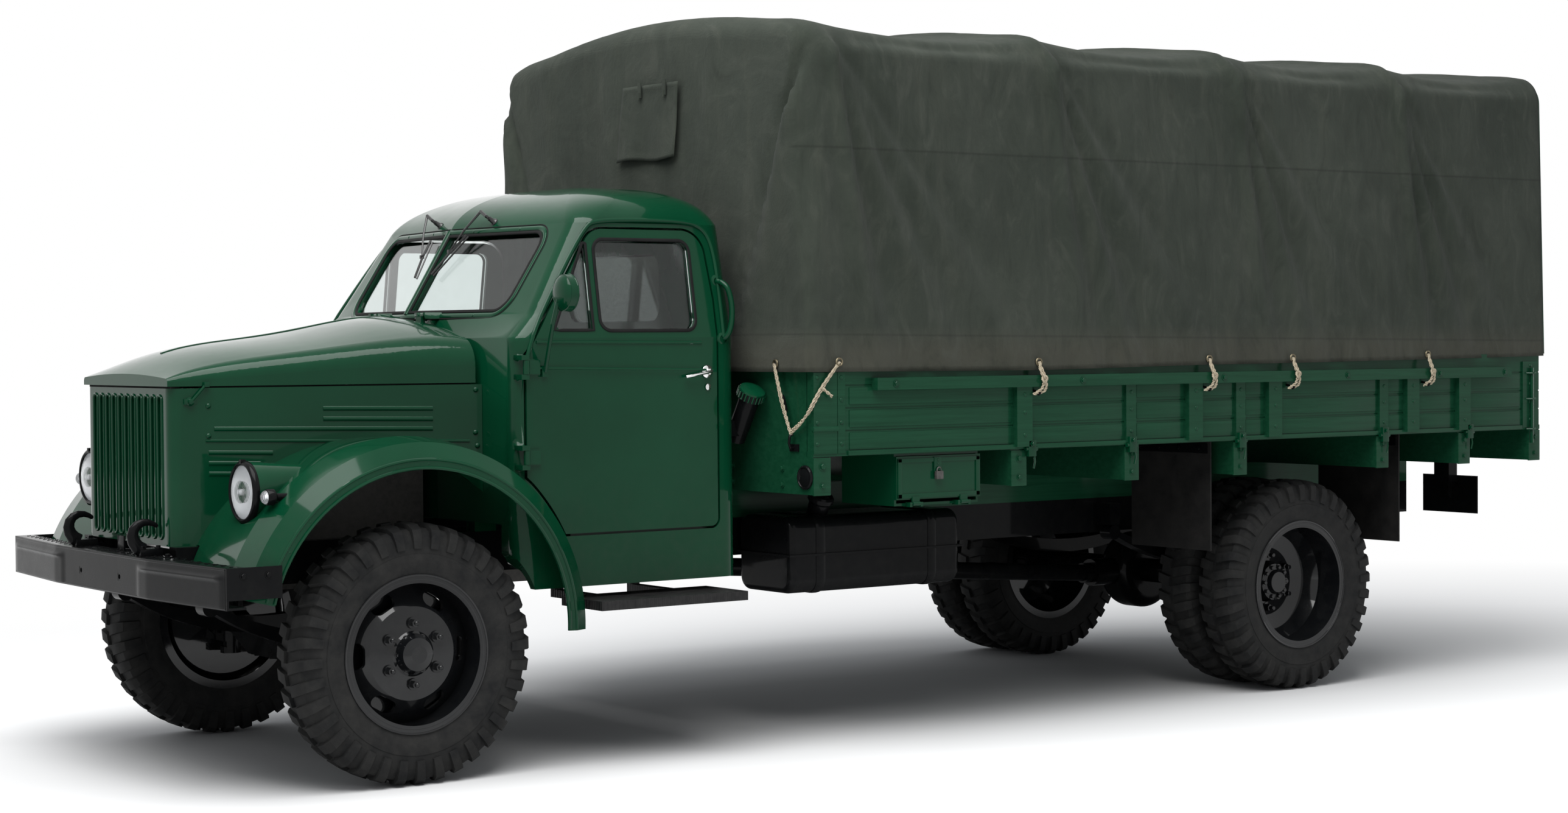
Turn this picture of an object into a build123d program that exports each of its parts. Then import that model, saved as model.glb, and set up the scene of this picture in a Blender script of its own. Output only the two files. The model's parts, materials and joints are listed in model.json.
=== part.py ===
from build123d import *
import os
from math import cos, radians, sin

os.makedirs("parts", exist_ok=True)

# Cargo truck with a steel cab, a wooden drop-tail load bed and a canvas cover on bows.
# Millimetres. X points to the truck's left, the front faces -Y and Z is up from the ground.
# The origin lies on the ground under the middle of the truck.

# Main dimensions
wheelbase = 4280.0
front_overhang = 800.0
rear_overhang = 1530.0
front_axle_y = (front_overhang - wheelbase - rear_overhang) / 2
rear_axle_y = front_axle_y + wheelbase
front_end_y = front_axle_y - front_overhang
rear_end_y = rear_axle_y + rear_overhang

# Wheels and tyres
tyre_radius = 460.0
tyre_width = 215.0
bead_radius = 259.0
flange_radius = 281.0
rim_width = 180.0
rim_wall = 10.0
front_wheel_x = 794.0
rear_outer_x = 942.0
dual_spacing = 250.0
hub_fit = 0.05
seat_clearance = 0.3
axle_z = tyre_radius
half_rim = rim_width / 2
wheel_windows = 6

# Steering
kingpin_x = 660.0
kingpin_radius = 20.0
steer_sweep_radius = tyre_radius + 80.0
spindle_radius = 30.0
steering_arm_length = 170.0
tie_rod_z = axle_z - 120.0
boss_height = 110.0
boss_radius = 42.0
knuckle_web = 12.0
knuckle_web_x = kingpin_x + boss_radius + 6.0
hub_back = knuckle_web_x + knuckle_web + 4.0 - front_wheel_x

# Ladder frame
rail_outer_x = 425.0
rail_flange = 62.0
rail_wall = 9.0
rail_bottom_z = 690.0
rail_height = 150.0
rail_top_z = rail_bottom_z + rail_height
rail_front_y = front_axle_y - 690.0
rail_rear_y = rear_end_y - 130.0

# Cab
cab_front_y = front_axle_y + 415.0
cab_length = 995.0
cab_rear_y = cab_front_y + cab_length
cab_half_width = 837.0
cab_bottom_z = 652.0
belt_z = 1560.0
roof_joint_z = 1985.0
cab_wall = 34.0
cowl_sweep = 22.0
floor_bottom = 885.0
cab_floor_thickness = 30.0
under_half_width = 720.0
door_gap = 9.0
glass_inset = 14.0
glass_thickness = 6.0

# Engine bay: the hood and its side panels widen towards the cab
bay_front_y = front_axle_y - 590.0
bay_half_width_at_axle = 516.0
bay_taper = 0.1864
hood_seam_z = 1399.0
hood_wall = 18.0
side_panel_wall = 10.0
hood_rear_y = cab_front_y - 10.0
hood_hinge_z = 1648.0
hood_hinge_y = cab_front_y - 4.0

# Fender, turned about a line across the truck above the axle
arch_y = front_axle_y - 10.0
arch_z = 530.0
arch_radius = 580.0
fender_crown_radius = 690.0
fender_outer_x = 962.0
fender_crown_x = 800.0
fender_shoulder_x = 925.0
fender_fall = 18.0
fender_wall = 9.0
fender_start_deg = -2.0
fender_arc_deg = 168.0
door_arch_radius = fender_crown_radius + 30.0

# Load bed
bed_front_y = front_axle_y + 1530.0
bed_rear_y = rear_end_y - 38.0
bed_half_width = 1142.0
board_thickness = 32.0
board_bottom_z = 1118.0
board_height = 342.0
board_top_z = board_bottom_z + board_height
plank_count = 4
plank_groove = 6.0
floor_thickness = 35.0
floor_bottom_z = board_bottom_z - 10.0
floor_top = floor_bottom_z + floor_thickness
bearer_bottom_z = 965.0
bearer_width = 80.0
rail_depth = 46.0
lashing_rail_x = bed_half_width + 39.0
lashing_rail_top_z = 1401.0

# Canvas cover and its bows
bow_bar = 30.0
cover_half_width = bed_half_width + 24.0
cover_shoulder_half_width = cover_half_width - 38.0
cover_hem_z = 1430.0
cover_eaves_z = 2728.0
cover_crown_z = 2855.0
cover_shoulder_radius = 120.0
cover_thickness = 15.0

# Stations along the truck, measured back from the front axle
bearer_stations = (2545.0, 3157.0, 3787.0, 4681.0, 5233.0)
bow_stations = (1615.0, 2719.0, 3759.0, 4786.0, 5765.0)


def across(y, z=0.0):
    """Plane across the truck at station y: local x is left, local y is up."""
    return Plane((0, y, z), (1, 0, 0), (0, -1, 0))


def along(x):
    """Plane along the truck at offset x: local x is rearwards, local y is up."""
    return Plane((x, 0, 0), (0, 1, 0), (1, 0, 0))


def bay_half_width(y):
    return bay_half_width_at_axle + bay_taper * (y - front_axle_y)


# Tyre: a flat-sided ring with two rows of lugs, one row half a pitch behind the other.
# Each lug stands on the tread between its foot angle and its tip angle on both sides of its middle
half_tyre = tyre_width / 2
lug_count = 18
lug_pitch_deg = 360.0 / lug_count
lug_height = 16.0
lug_foot_deg = 4.8
lug_tip_deg = 4.0
lug_row_width = 96.0
tread_radius = tyre_radius - lug_height
bore_radius = (bead_radius + seat_clearance) / cos(radians(lug_pitch_deg / 2))
side_low_radius = bead_radius + 74.0
side_high_radius = tyre_radius - 64.0
shoulder_radius = tread_radius - 4.0
shoulder_x = lug_row_width - 2.0
bead_half_width = half_rim - 14.0
first_lug_deg = lug_tip_deg - 90.0


def lug_row(phase_deg):
    points = []
    for lug in range(lug_count):
        middle = lug * lug_pitch_deg + phase_deg
        points.append((tread_radius, middle - lug_foot_deg))
        points.append((tyre_radius, middle - lug_tip_deg))
        points.append((tyre_radius, middle + lug_tip_deg))
        points.append((tread_radius, middle + lug_foot_deg))
    return [(radius * cos(radians(angle)), radius * sin(radians(angle))) for radius, angle in points]


def ring_face(offset_x, radius):
    with BuildSketch(Plane.YZ.offset(offset_x)) as face:
        RegularPolygon(radius, lug_count)
    return face.sketch


with BuildPart() as tyre_body:
    for row, row_sign in enumerate((1, -1)):
        with BuildSketch(Plane.YZ):
            with BuildLine():
                Polyline(*lug_row(first_lug_deg + row * lug_pitch_deg / 2), close=True)
            make_face()
        extrude(amount=row_sign * lug_row_width)
        shoulder_face = ring_face(row_sign * shoulder_x, shoulder_radius)
        loft([shoulder_face, ring_face(row_sign * half_tyre, side_high_radius)])
    for row_sign in (1, -1):
        bead_face = ring_face(row_sign * bead_half_width, bore_radius)
        outer_face = ring_face(row_sign * half_tyre, side_low_radius)
        loft([bead_face, outer_face], mode=Mode.SUBTRACT)
    with BuildSketch(Plane.YZ):
        RegularPolygon(bore_radius, lug_count)
    extrude(amount=tyre_width, both=True, mode=Mode.SUBTRACT)

# Rim ring section: barrel with a flange at each edge
rim_outline = (
    (-half_rim, bead_radius - rim_wall),
    (half_rim, bead_radius - rim_wall),
    (half_rim, flange_radius),
    (half_rim - 3.0, flange_radius),
    (half_rim - 3.0, bead_radius),
    (-half_rim + 3.0, bead_radius),
    (-half_rim + 3.0, flange_radius),
    (-half_rim, flange_radius),
)

# Front wheel disc, domed outwards, with its hub. Columns: offset outwards, radius
front_disc = (
    (-30.0, bead_radius - 5.0),
    (-14.0, bead_radius - 5.0),
    (48.0, 165.0),
    (56.0, 80.0),
    (62.0, 72.0),
    (92.0, 58.0),
    (104.0, 30.0),
    (104.0, 0.0),
    (60.0, 0.0),
    (60.0, spindle_radius + hub_fit),
    (hub_back, spindle_radius + hub_fit),
    (hub_back, 78.0),
    (30.0, 78.0),
    (34.0, 160.0),
)
# Rear dual wheel disc: dished to the middle between the two rims, with a full-floating hub
rear_disc_x = rear_outer_x - dual_spacing / 2
rear_disc = (
    (85.0, bead_radius - 5.0),
    (97.0, bead_radius - 5.0),
    (30.0, 215.0),
    (10.0, 150.0),
    (12.0, 92.0),
    (60.0, 80.0),
    (66.0, 55.0),
    (84.0, 45.0),
    (84.0, 0.0),
    (40.0, 0.0),
    (40.0, spindle_radius + hub_fit),
    (-120.0, spindle_radius + hub_fit),
    (-120.0, 85.0),
    (-10.0, 92.0),
    (-10.0, 150.0),
    (-30.0, 215.0),
    (-97.0, bead_radius - 5.0),
    (-85.0, bead_radius - 5.0),
    (-18.0, 222.0),
    (0.0, 196.0),
    (18.0, 222.0),
)

# Columns: side name, sign of X
sides = (("left", 1), ("right", -1))

for side, sign in sides:
    with BuildPart() as front_tyre:
        with Locations((sign * front_wheel_x, front_axle_y, axle_z)):
            add(tyre_body.part)
    front_tyre.part.label = f"tyre_front_{side}"
    export_step(front_tyre.part, f"parts/tyre_front_{side}.step")

    with BuildPart() as front_wheel:
        with BuildSketch(across(front_axle_y, axle_z)):
            with BuildLine():
                Polyline(*[(sign * front_wheel_x + x, r) for x, r in rim_outline], close=True)
            make_face()
            with BuildLine():
                Polyline(*[(sign * (front_wheel_x + x), r) for x, r in front_disc], close=True)
            make_face()
        revolve(axis=Axis((0, front_axle_y, axle_z), (1, 0, 0)))
        with BuildSketch(Plane((0, front_axle_y, axle_z), (0, 1, 0), (1, 0, 0))):
            with PolarLocations(200.0, wheel_windows):
                SlotOverall(92.0, 46.0, rotation=90)
        extrude(amount=sign * (front_wheel_x + 60.0), mode=Mode.SUBTRACT)
    front_wheel.part.label = f"wheel_front_{side}"
    export_step(front_wheel.part, f"parts/wheel_front_{side}.step")

    with BuildPart() as rear_tyres:
        for wheel_x in (rear_outer_x, rear_outer_x - dual_spacing):
            with Locations((sign * wheel_x, rear_axle_y, axle_z)):
                add(tyre_body.part)
    rear_tyres.part.label = f"tyres_rear_{side}"
    export_step(rear_tyres.part, f"parts/tyres_rear_{side}.step")

    with BuildPart() as rear_wheel:
        with BuildSketch(across(rear_axle_y, axle_z)):
            for wheel_x in (rear_outer_x, rear_outer_x - dual_spacing):
                with BuildLine():
                    Polyline(*[(sign * wheel_x + x, r) for x, r in rim_outline], close=True)
                make_face()
            with BuildLine():
                Polyline(*[(sign * (rear_disc_x + x), r) for x, r in rear_disc], close=True)
            make_face()
        revolve(axis=Axis((0, rear_axle_y, axle_z), (1, 0, 0)))
    rear_wheel.part.label = f"wheel_rear_{side}"
    export_step(rear_wheel.part, f"parts/wheel_rear_{side}.step")

# Front axle: dropped beam with a boss for each kingpin
beam_z = axle_z - 70.0
beam_end_x = kingpin_x - boss_radius - 14.0
spring_x = 385.0
spring_width = 64.0
with BuildPart() as front_axle_beam:
    with BuildSketch(across(front_axle_y)):
        with BuildLine():
            Polyline(
                (-kingpin_x, axle_z - 45.0),
                (-beam_end_x, axle_z - 45.0),
                (-spring_x - 60.0, beam_z - 45.0),
                (spring_x + 60.0, beam_z - 45.0),
                (beam_end_x, axle_z - 45.0),
                (kingpin_x, axle_z - 45.0),
                (kingpin_x, axle_z + 45.0),
                (beam_end_x, axle_z + 45.0),
                (spring_x + 60.0, beam_z + 45.0),
                (-spring_x - 60.0, beam_z + 45.0),
                (-beam_end_x, axle_z + 45.0),
                (-kingpin_x, axle_z + 45.0),
                close=True,
            )
        make_face()
    extrude(amount=30.0, both=True)
    with Locations((kingpin_x, front_axle_y, axle_z), (-kingpin_x, front_axle_y, axle_z)):
        Cylinder(boss_radius, boss_height)
        Cylinder(kingpin_radius + hub_fit, boss_height, mode=Mode.SUBTRACT)
front_axle_beam.part.label = "front_axle_beam"
export_step(front_axle_beam.part, "parts/front_axle_beam.step")

# Knuckles: a clevis above and below the boss on a kingpin, a spindle and a steering arm
clevis_height = 30.0
clevis_clearance = 0.5
arm_pin_radius = 10.0
arm_thickness = 26.0
arm_y = front_axle_y + steering_arm_length
for side, sign in sides:
    with BuildPart() as knuckle:
        with Locations((sign * kingpin_x, front_axle_y, axle_z)):
            Cylinder(kingpin_radius, boss_height + 2 * clevis_height)
        for level in (1, -1):
            clevis_z = axle_z + level * (boss_height / 2 + clevis_clearance + clevis_height / 2)
            with BuildSketch(Plane.XY.offset(clevis_z)):
                with Locations((sign * kingpin_x, front_axle_y)):
                    Circle(boss_radius)
                with Locations((sign * (kingpin_x + knuckle_web_x) / 2, front_axle_y)):
                    Rectangle(knuckle_web_x - kingpin_x + 24.0, 2 * boss_radius)
            extrude(amount=clevis_height / 2, both=True)
        with Locations((sign * (knuckle_web_x + knuckle_web / 2), front_axle_y, axle_z)):
            Box(knuckle_web, 2 * boss_radius, boss_height + 2 * clevis_height)
        with Locations((sign * (knuckle_web_x + front_wheel_x + 55.0) / 2, front_axle_y, axle_z)):
            Cylinder(spindle_radius, front_wheel_x + 55.0 - knuckle_web_x, rotation=(0, 90, 0))
        with Locations((sign * kingpin_x, front_axle_y + steering_arm_length / 2, tie_rod_z)):
            Box(36.0, steering_arm_length + 2 * boss_radius, arm_thickness)
        with Locations((sign * kingpin_x, front_axle_y, (tie_rod_z + axle_z - boss_height / 2) / 2 - 15.0)):
            Cylinder(boss_radius - 8.0, axle_z - boss_height / 2 - tie_rod_z - 4.0)
        with Locations((sign * kingpin_x, arm_y, tie_rod_z - arm_thickness)):
            Cylinder(arm_pin_radius, 2 * arm_thickness)
    knuckle.part.label = f"knuckle_{side}"
    export_step(knuckle.part, f"parts/knuckle_{side}.step")

# Tie rod below the arms, with an eye on each arm's pin
tie_eye_z = tie_rod_z - arm_thickness - 4.0
with BuildPart() as tie_rod:
    with Locations((0, arm_y, tie_eye_z)):
        Cylinder(14.0, 2 * kingpin_x, rotation=(0, 90, 0))
    with Locations((kingpin_x, arm_y, tie_eye_z), (-kingpin_x, arm_y, tie_eye_z)):
        Cylinder(24.0, 30.0)
        Cylinder(arm_pin_radius + seat_clearance, 60.0, mode=Mode.SUBTRACT)
tie_rod.part.label = "tie_rod"
export_step(tie_rod.part, "parts/tie_rod.step")

# Rear axle: banjo housing on a tube that ends in the hub spindles
rear_spindle_x = rear_disc_x + 35.0
with BuildPart() as rear_axle_housing:
    with Locations((0, rear_axle_y, axle_z)):
        Cylinder(55.0, 2 * (rear_disc_x - 122.0), rotation=(0, 90, 0))
        Cylinder(spindle_radius, 2 * rear_spindle_x, rotation=(0, 90, 0))
        Cylinder(175.0, 190.0, rotation=(0, 90, 0))
    fillet(rear_axle_housing.edges().filter_by(GeomType.CIRCLE).filter_by(lambda e: e.radius > 170.0), 55.0)
    with Locations((0, rear_axle_y - 205.0, axle_z)):
        Cylinder(62.0, 190.0, rotation=(90, 0, 0))
rear_axle_housing.part.label = "rear_axle_housing"
export_step(rear_axle_housing.part, "parts/rear_axle_housing.step")

# Leaf springs: bowed packs under the rails, a seat block on each axle
# Columns: axle station, offset across, half length, seat height, eye height
rear_spring_x = 500.0
spring_rows = (
    (front_axle_y, spring_x, 560.0, beam_z + 45.0, rail_bottom_z - 80.0),
    (rear_axle_y, rear_spring_x, 640.0, axle_z + 55.0, rail_bottom_z - 10.0),
)
leaf_pack = 62.0
eye_rise = 12.0
eye_radius = 32.0
hanger_lap = 5.0
with BuildPart() as leaf_springs:
    for spring_y, offset_x, half_length, seat_z, eye_z in spring_rows:
        for sign in (1, -1):
            with BuildSketch(along(sign * offset_x)):
                with BuildLine():
                    low = ThreePointArc(
                        (spring_y - half_length, eye_z), (spring_y, seat_z), (spring_y + half_length, eye_z)
                    )
                    high = ThreePointArc(
                        (spring_y - half_length, eye_z + 24.0),
                        (spring_y, seat_z + leaf_pack),
                        (spring_y + half_length, eye_z + 24.0),
                    )
                    Line(low @ 0, high @ 0)
                    Line(low @ 1, high @ 1)
                make_face()
            extrude(amount=spring_width / 2, both=True)
            for end in (1, -1):
                with Locations((sign * offset_x, spring_y + end * half_length, eye_z + eye_rise)):
                    Cylinder(eye_radius, spring_width, rotation=(0, 90, 0))
leaf_springs.part.label = "leaf_springs"
export_step(leaf_springs.part, "parts/leaf_springs.step")

# Ladder frame: two channel rails with the spring hangers, and the members between them
with BuildPart() as frame_rails:
    for sign in (1, -1):
        with BuildSketch(across(rail_front_y)):
            with Locations((sign * (rail_outer_x - rail_flange / 2), rail_bottom_z + rail_height / 2)):
                Rectangle(rail_flange, rail_height)
            hollow_x = sign * (rail_outer_x - rail_wall - rail_flange / 2)
            with Locations((hollow_x, rail_bottom_z + rail_height / 2)):
                Rectangle(rail_flange, rail_height - 2 * rail_wall, mode=Mode.SUBTRACT)
        extrude(amount=rail_front_y - rail_rear_y)
        for spring_y, offset_x, half_length, seat_z, eye_z in spring_rows:
            hanger_top = rail_bottom_z + hanger_lap if offset_x < rail_outer_x else rail_top_z - 20.0
            hanger_low = eye_z + eye_rise + eye_radius + seat_clearance
            inner_x = offset_x - spring_width / 2 if offset_x < rail_outer_x else rail_outer_x - rail_wall
            outer_x = offset_x + spring_width / 2
            hanger_z = (hanger_low + hanger_top) / 2
            for end in (1, -1):
                with Locations((sign * (inner_x + outer_x) / 2, spring_y + end * half_length, hanger_z)):
                    Box(outer_x - inner_x, 60.0, hanger_top - hanger_low)
frame_rails.part.label = "frame_rails"
export_step(frame_rails.part, "parts/frame_rails.step")

# Columns: station from the front axle, height
crossmembers = (
    (-560.0, 100.0),
    (1150.0, 110.0),
    (2350.0, 110.0),
    (3560.0, 110.0),
    (4900.0, 110.0),
    (5560.0, 120.0),
)
member_half = rail_outer_x - rail_wall
with BuildPart() as frame_crossmembers:
    for station, height in crossmembers:
        with Locations((0, front_axle_y + station, rail_bottom_z + rail_height / 2)):
            Box(2 * member_half, 60.0, height)
frame_crossmembers.part.label = "frame_crossmembers"
export_step(frame_crossmembers.part, "parts/frame_crossmembers.step")

# Power unit: one plain block for engine and gearbox between the rails
engine_length = 770.0
engine_front_y = front_axle_y - 380.0
gearbox_length = 520.0
gearbox_z = 715.0
shaft_start_z = 670.0
with BuildPart() as engine_block:
    with Locations((0, engine_front_y + engine_length / 2, 960.0)):
        Box(420.0, engine_length, 620.0)
    with Locations((0, engine_front_y + engine_length + gearbox_length / 2, gearbox_z)):
        Box(300.0, gearbox_length, 200.0)
    with Locations((0, engine_front_y + 200.0, rail_bottom_z + rail_height / 2)):
        Box(2 * member_half, 70.0, 90.0)
engine_block.part.label = "engine_block"
export_step(engine_block.part, "parts/engine_block.step")

gearbox_rear_y = engine_front_y + engine_length + gearbox_length
pinion_y = rear_axle_y - 300.0
yoke_length = 50.0
with BuildPart() as drive_shaft:
    with BuildLine():
        shaft_line = Line((0, gearbox_rear_y + 25.0, shaft_start_z), (0, pinion_y - 25.0, axle_z))
    with BuildSketch(Plane(shaft_line @ 0, z_dir=shaft_line % 0)):
        Circle(38.0)
    sweep(path=shaft_line)
    front_yoke = (0, gearbox_rear_y + yoke_length / 2, shaft_start_z)
    rear_yoke = (0, pinion_y - yoke_length / 2, axle_z)
    with Locations(front_yoke, rear_yoke):
        Cylinder(46.0, yoke_length, rotation=(90, 0, 0))
drive_shaft.part.label = "drive_shaft"
export_step(drive_shaft.part, "parts/drive_shaft.step")

# Radiator core behind the grille shell
grille_face_y = front_axle_y - 690.0
shell_depth = 100.0
shell_side = 37.0
shell_half_width = bay_half_width(bay_front_y)
shell_bottom_z = rail_top_z
shell_top_z = hood_seam_z - 7.0
shell_wall = 12.0
core_front_y = grille_face_y + 40.0
core_depth = 60.0
with BuildPart() as radiator_core:
    with Locations((0, core_front_y + core_depth / 2, (shell_bottom_z + shell_top_z - shell_wall) / 2)):
        Box(2 * (shell_half_width - shell_side), core_depth, shell_top_z - shell_wall - shell_bottom_z)
radiator_core.part.label = "radiator_core"
export_step(radiator_core.part, "parts/radiator_core.step")

# Radiator shell: pressed front with a row of round-ended upright slots
slot_count = 11
slot_pitch = 59.0
slot_width = 34.0
slot_height = 500.0
with BuildPart() as radiator_shell:
    with BuildSketch(Plane.XY.offset(shell_bottom_z)):
        with BuildLine():
            Polyline(
                (-shell_half_width, grille_face_y + shell_depth),
                (-shell_half_width + 22.0, grille_face_y),
                (shell_half_width - 22.0, grille_face_y),
                (shell_half_width, grille_face_y + shell_depth),
                close=True,
            )
        make_face()
        front_corners = vertices().sort_by(Axis.Y)[:2]
        fillet(front_corners, 48.0)
    extrude(amount=shell_top_z - shell_bottom_z)
    with BuildSketch(Plane.XY.offset(shell_bottom_z)):
        with Locations((0, grille_face_y + shell_wall + shell_depth / 2)):
            Rectangle(2 * (shell_half_width - shell_side), shell_depth)
    extrude(amount=shell_top_z - shell_bottom_z - shell_wall, mode=Mode.SUBTRACT)
    with BuildSketch(across(grille_face_y - 5.0, (shell_bottom_z + shell_top_z) / 2)):
        with GridLocations(slot_pitch, 0, slot_count, 1):
            SlotOverall(slot_height, slot_width, rotation=90)
    extrude(amount=-(shell_wall + 10.0), mode=Mode.SUBTRACT)
radiator_shell.part.label = "radiator_shell"
export_step(radiator_shell.part, "parts/radiator_shell.step")

# Hood sections. Columns: station from the front axle, crown height, drop to the shoulder, corner radius
hood_sections = (
    (-700.0, 1442.0, 16.0, 14.0),
    (-600.0, 1498.0, 46.0, 40.0),
    (-300.0, 1560.0, 66.0, 70.0),
    (0.0, 1604.0, 78.0, 90.0),
    (hood_rear_y - front_axle_y, 1632.0, 90.0, 110.0),
)


def hood_block(inset, low_z):
    with BuildPart() as block:
        for station, crown, drop, radius in hood_sections:
            y = front_axle_y + station
            if station == hood_sections[0][0]:
                y += inset
            half = bay_half_width(y) - inset
            with BuildSketch(across(y)):
                with BuildLine():
                    edge_z = crown - drop - inset
                    top = ThreePointArc((half, edge_z), (0, crown - inset), (-half, edge_z))
                    Polyline(top @ 1, (-half, low_z), (half, low_z), top @ 0)
                make_face()
                shoulders = vertices().sort_by(Axis.Y)[-2:]
                fillet(shoulders, radius)
        loft()
    return block.part


hood_barrel_radius = 11.0
hood_pin_radius = 5.0
hood_hinge_x = 190.0
with BuildPart() as hood:
    add(hood_block(0.0, hood_seam_z))
    add(hood_block(hood_wall, hood_seam_z - 8.0), mode=Mode.SUBTRACT)
    for sign in (1, -1):
        with Locations((sign * hood_hinge_x, hood_hinge_y, hood_hinge_z)):
            Cylinder(hood_barrel_radius, 40.0, rotation=(0, 90, 0))
        with Locations((sign * hood_hinge_x, hood_hinge_y - 14.0, hood_hinge_z - 19.0)):
            Box(40.0, 18.0, 34.0)
        with Locations((sign * hood_hinge_x, hood_hinge_y, hood_hinge_z)):
            Cylinder(hood_pin_radius + hub_fit, 60.0, rotation=(0, 90, 0), mode=Mode.SUBTRACT)
hood.part.label = "hood"
export_step(hood.part, "parts/hood.step")

# Hood side panels, cut round above the wheel
side_panel_bottom_z = rail_top_z + 4.0
side_panel_top_z = hood_seam_z - 6.0
panel_arch_radius = arch_radius + 62.0
panel_rear_y = cab_front_y + 14.0
with BuildPart() as hood_sides:
    for sign in (1, -1):
        with BuildSketch(Plane.XY.offset(side_panel_bottom_z)):
            with BuildLine():
                Polyline(
                    (sign * bay_half_width(bay_front_y), bay_front_y),
                    (sign * bay_half_width(panel_rear_y), panel_rear_y),
                    (sign * (bay_half_width(panel_rear_y) - side_panel_wall), panel_rear_y),
                    (sign * (bay_half_width(bay_front_y) - side_panel_wall), bay_front_y),
                    close=True,
                )
            make_face()
        extrude(amount=side_panel_top_z - side_panel_bottom_z)
    with Locations((0, arch_y, arch_z)):
        Cylinder(panel_arch_radius, 2000.0, rotation=(0, 90, 0), mode=Mode.SUBTRACT)
hood_sides.part.label = "hood_sides"
export_step(hood_sides.part, "parts/hood_sides.step")

# Cab body sections.
# Columns: height, half width, nose set back, windshield sweep, tail set in, corner radius
lower_sections = (
    (cab_bottom_z, cab_half_width, 0.0, cowl_sweep, 0.0, 70.0),
    (belt_z, cab_half_width - 4.0, 0.0, cowl_sweep, 0.0, 70.0),
)
upper_sections = (
    (belt_z, cab_half_width - 4.0, 0.0, cowl_sweep, 0.0, 70.0),
    (1650.0, cab_half_width - 22.0, 20.0, 100.0, 0.0, 74.0),
    (roof_joint_z, cab_half_width - 80.0, 224.0, 108.0, 6.0, 90.0),
)
roof_sections = (
    (roof_joint_z, cab_half_width - 80.0, 224.0, 108.0, 6.0, 90.0),
    (2042.0, cab_half_width - 118.0, 275.0, 100.0, 24.0, 118.0),
    (2092.0, cab_half_width - 192.0, 362.0, 88.0, 66.0, 140.0),
    (2126.0, cab_half_width - 332.0, 470.0, 60.0, 140.0, 110.0),
    (2142.0, cab_half_width - 507.0, 575.0, 30.0, 230.0, 60.0),
)


def cab_block(sections, inset, drop, ruled):
    with BuildPart() as block:
        for row, (z, half, nose, sweep_back, tail, radius) in enumerate(sections):
            front = cab_front_y + nose + inset
            rear = cab_rear_y - tail - inset
            half -= inset
            with BuildSketch(Plane.XY.offset(z - (drop if row else 0.0))):
                with BuildLine():
                    Polyline(
                        (0, front),
                        (half, front + sweep_back),
                        (half, rear),
                        (-half, rear),
                        (-half, front + sweep_back),
                        close=True,
                    )
                make_face()
                corners = vertices().sort_by(Axis.X)[:2] + vertices().sort_by(Axis.X)[-2:]
                fillet(corners, max(radius - inset, 20.0))
        loft(ruled=ruled)
    return block.part


lower_outer = cab_block(lower_sections, 0.0, 0.0, True)
lower_inner = cab_block(lower_sections, cab_wall, 0.0, True)
upper_outer = cab_block(upper_sections, 0.0, 0.0, True)
upper_inner = cab_block(upper_sections, cab_wall, 0.0, True)
with BuildPart() as body_shell:
    add(lower_outer)
    add(upper_outer)
    add(lower_inner, mode=Mode.SUBTRACT)
    add(upper_inner, mode=Mode.SUBTRACT)
    with Locations((0, (cab_front_y + cab_rear_y) / 2, (cab_bottom_z + floor_bottom) / 2)):
        Box(2 * under_half_width, 2 * cab_length, floor_bottom - cab_bottom_z, mode=Mode.SUBTRACT)
with BuildPart() as glass_shell:
    add(cab_block(upper_sections, glass_inset, 0.0, True))
    add(cab_block(upper_sections, glass_inset + glass_thickness, 0.0, True), mode=Mode.SUBTRACT)

# Door outline seen from the side, measured back from the front axle
door_front = 480.0
door_rear = 1310.0
door_bottom_z = 847.0
door_top_z = 1962.0
door_outline = (
    (door_front, door_bottom_z),
    (door_rear, door_bottom_z),
    (door_rear, 1700.0),
    (door_rear - 28.0, door_top_z),
    (door_front + 318.0, door_top_z),
    (door_front + 40.0, belt_z),
    (door_front, belt_z - 60.0),
)
door_inner_x = 600.0
door_reach = 320.0


def door_prism(grow):
    with BuildPart() as prism:
        with BuildSketch(along(door_inner_x)):
            with BuildLine():
                Polyline(*[(front_axle_y + y, z) for y, z in door_outline], close=True)
            make_face()
            fillet(vertices().group_by(Axis.Y)[-1], 95.0)
            fillet(vertices().group_by(Axis.Y)[0].sort_by(Axis.X)[-1:], 30.0)
            if grow:
                offset(amount=grow)
            with Locations((arch_y, arch_z)):
                Circle(door_arch_radius - grow, mode=Mode.SUBTRACT)
        extrude(amount=door_reach)
    return prism.part


# Window outlines. Side windows are seen from the side, measured back from the front axle
quarter_outline = ((600.0, 1588.0), (768.0, 1588.0), (768.0, 1908.0), (754.0, 1908.0))
quarter_bar = 34.0
main_window_rear = 1222.0
main_window_bottom_z = 1588.0
main_window_top_z = 1922.0
pane_inner_x = 24.0
pane_outer_x = 480.0
pane_bottom_z = 1676.0
pane_top_z = 1950.0
rear_window_half = 340.0
rear_window_bottom_z = 1625.0
rear_window_top_z = 1890.0


def side_windows(grow):
    with BuildPart() as prism:
        with BuildSketch(along(door_inner_x)):
            with BuildLine():
                Polyline(*[(front_axle_y + y, z) for y, z in quarter_outline], close=True)
            make_face()
            fillet(vertices().sort_by(Axis.X)[:1], 20.0)
            main_front = quarter_outline[1][0] + quarter_bar
            with Locations(
                (
                    front_axle_y + (main_front + main_window_rear) / 2,
                    (main_window_bottom_z + main_window_top_z) / 2,
                )
            ):
                main_window_height = main_window_top_z - main_window_bottom_z
                RectangleRounded(main_window_rear - main_front, main_window_height, 42.0)
            if grow:
                offset(amount=grow)
        extrude(amount=door_reach)
    return prism.part


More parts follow.
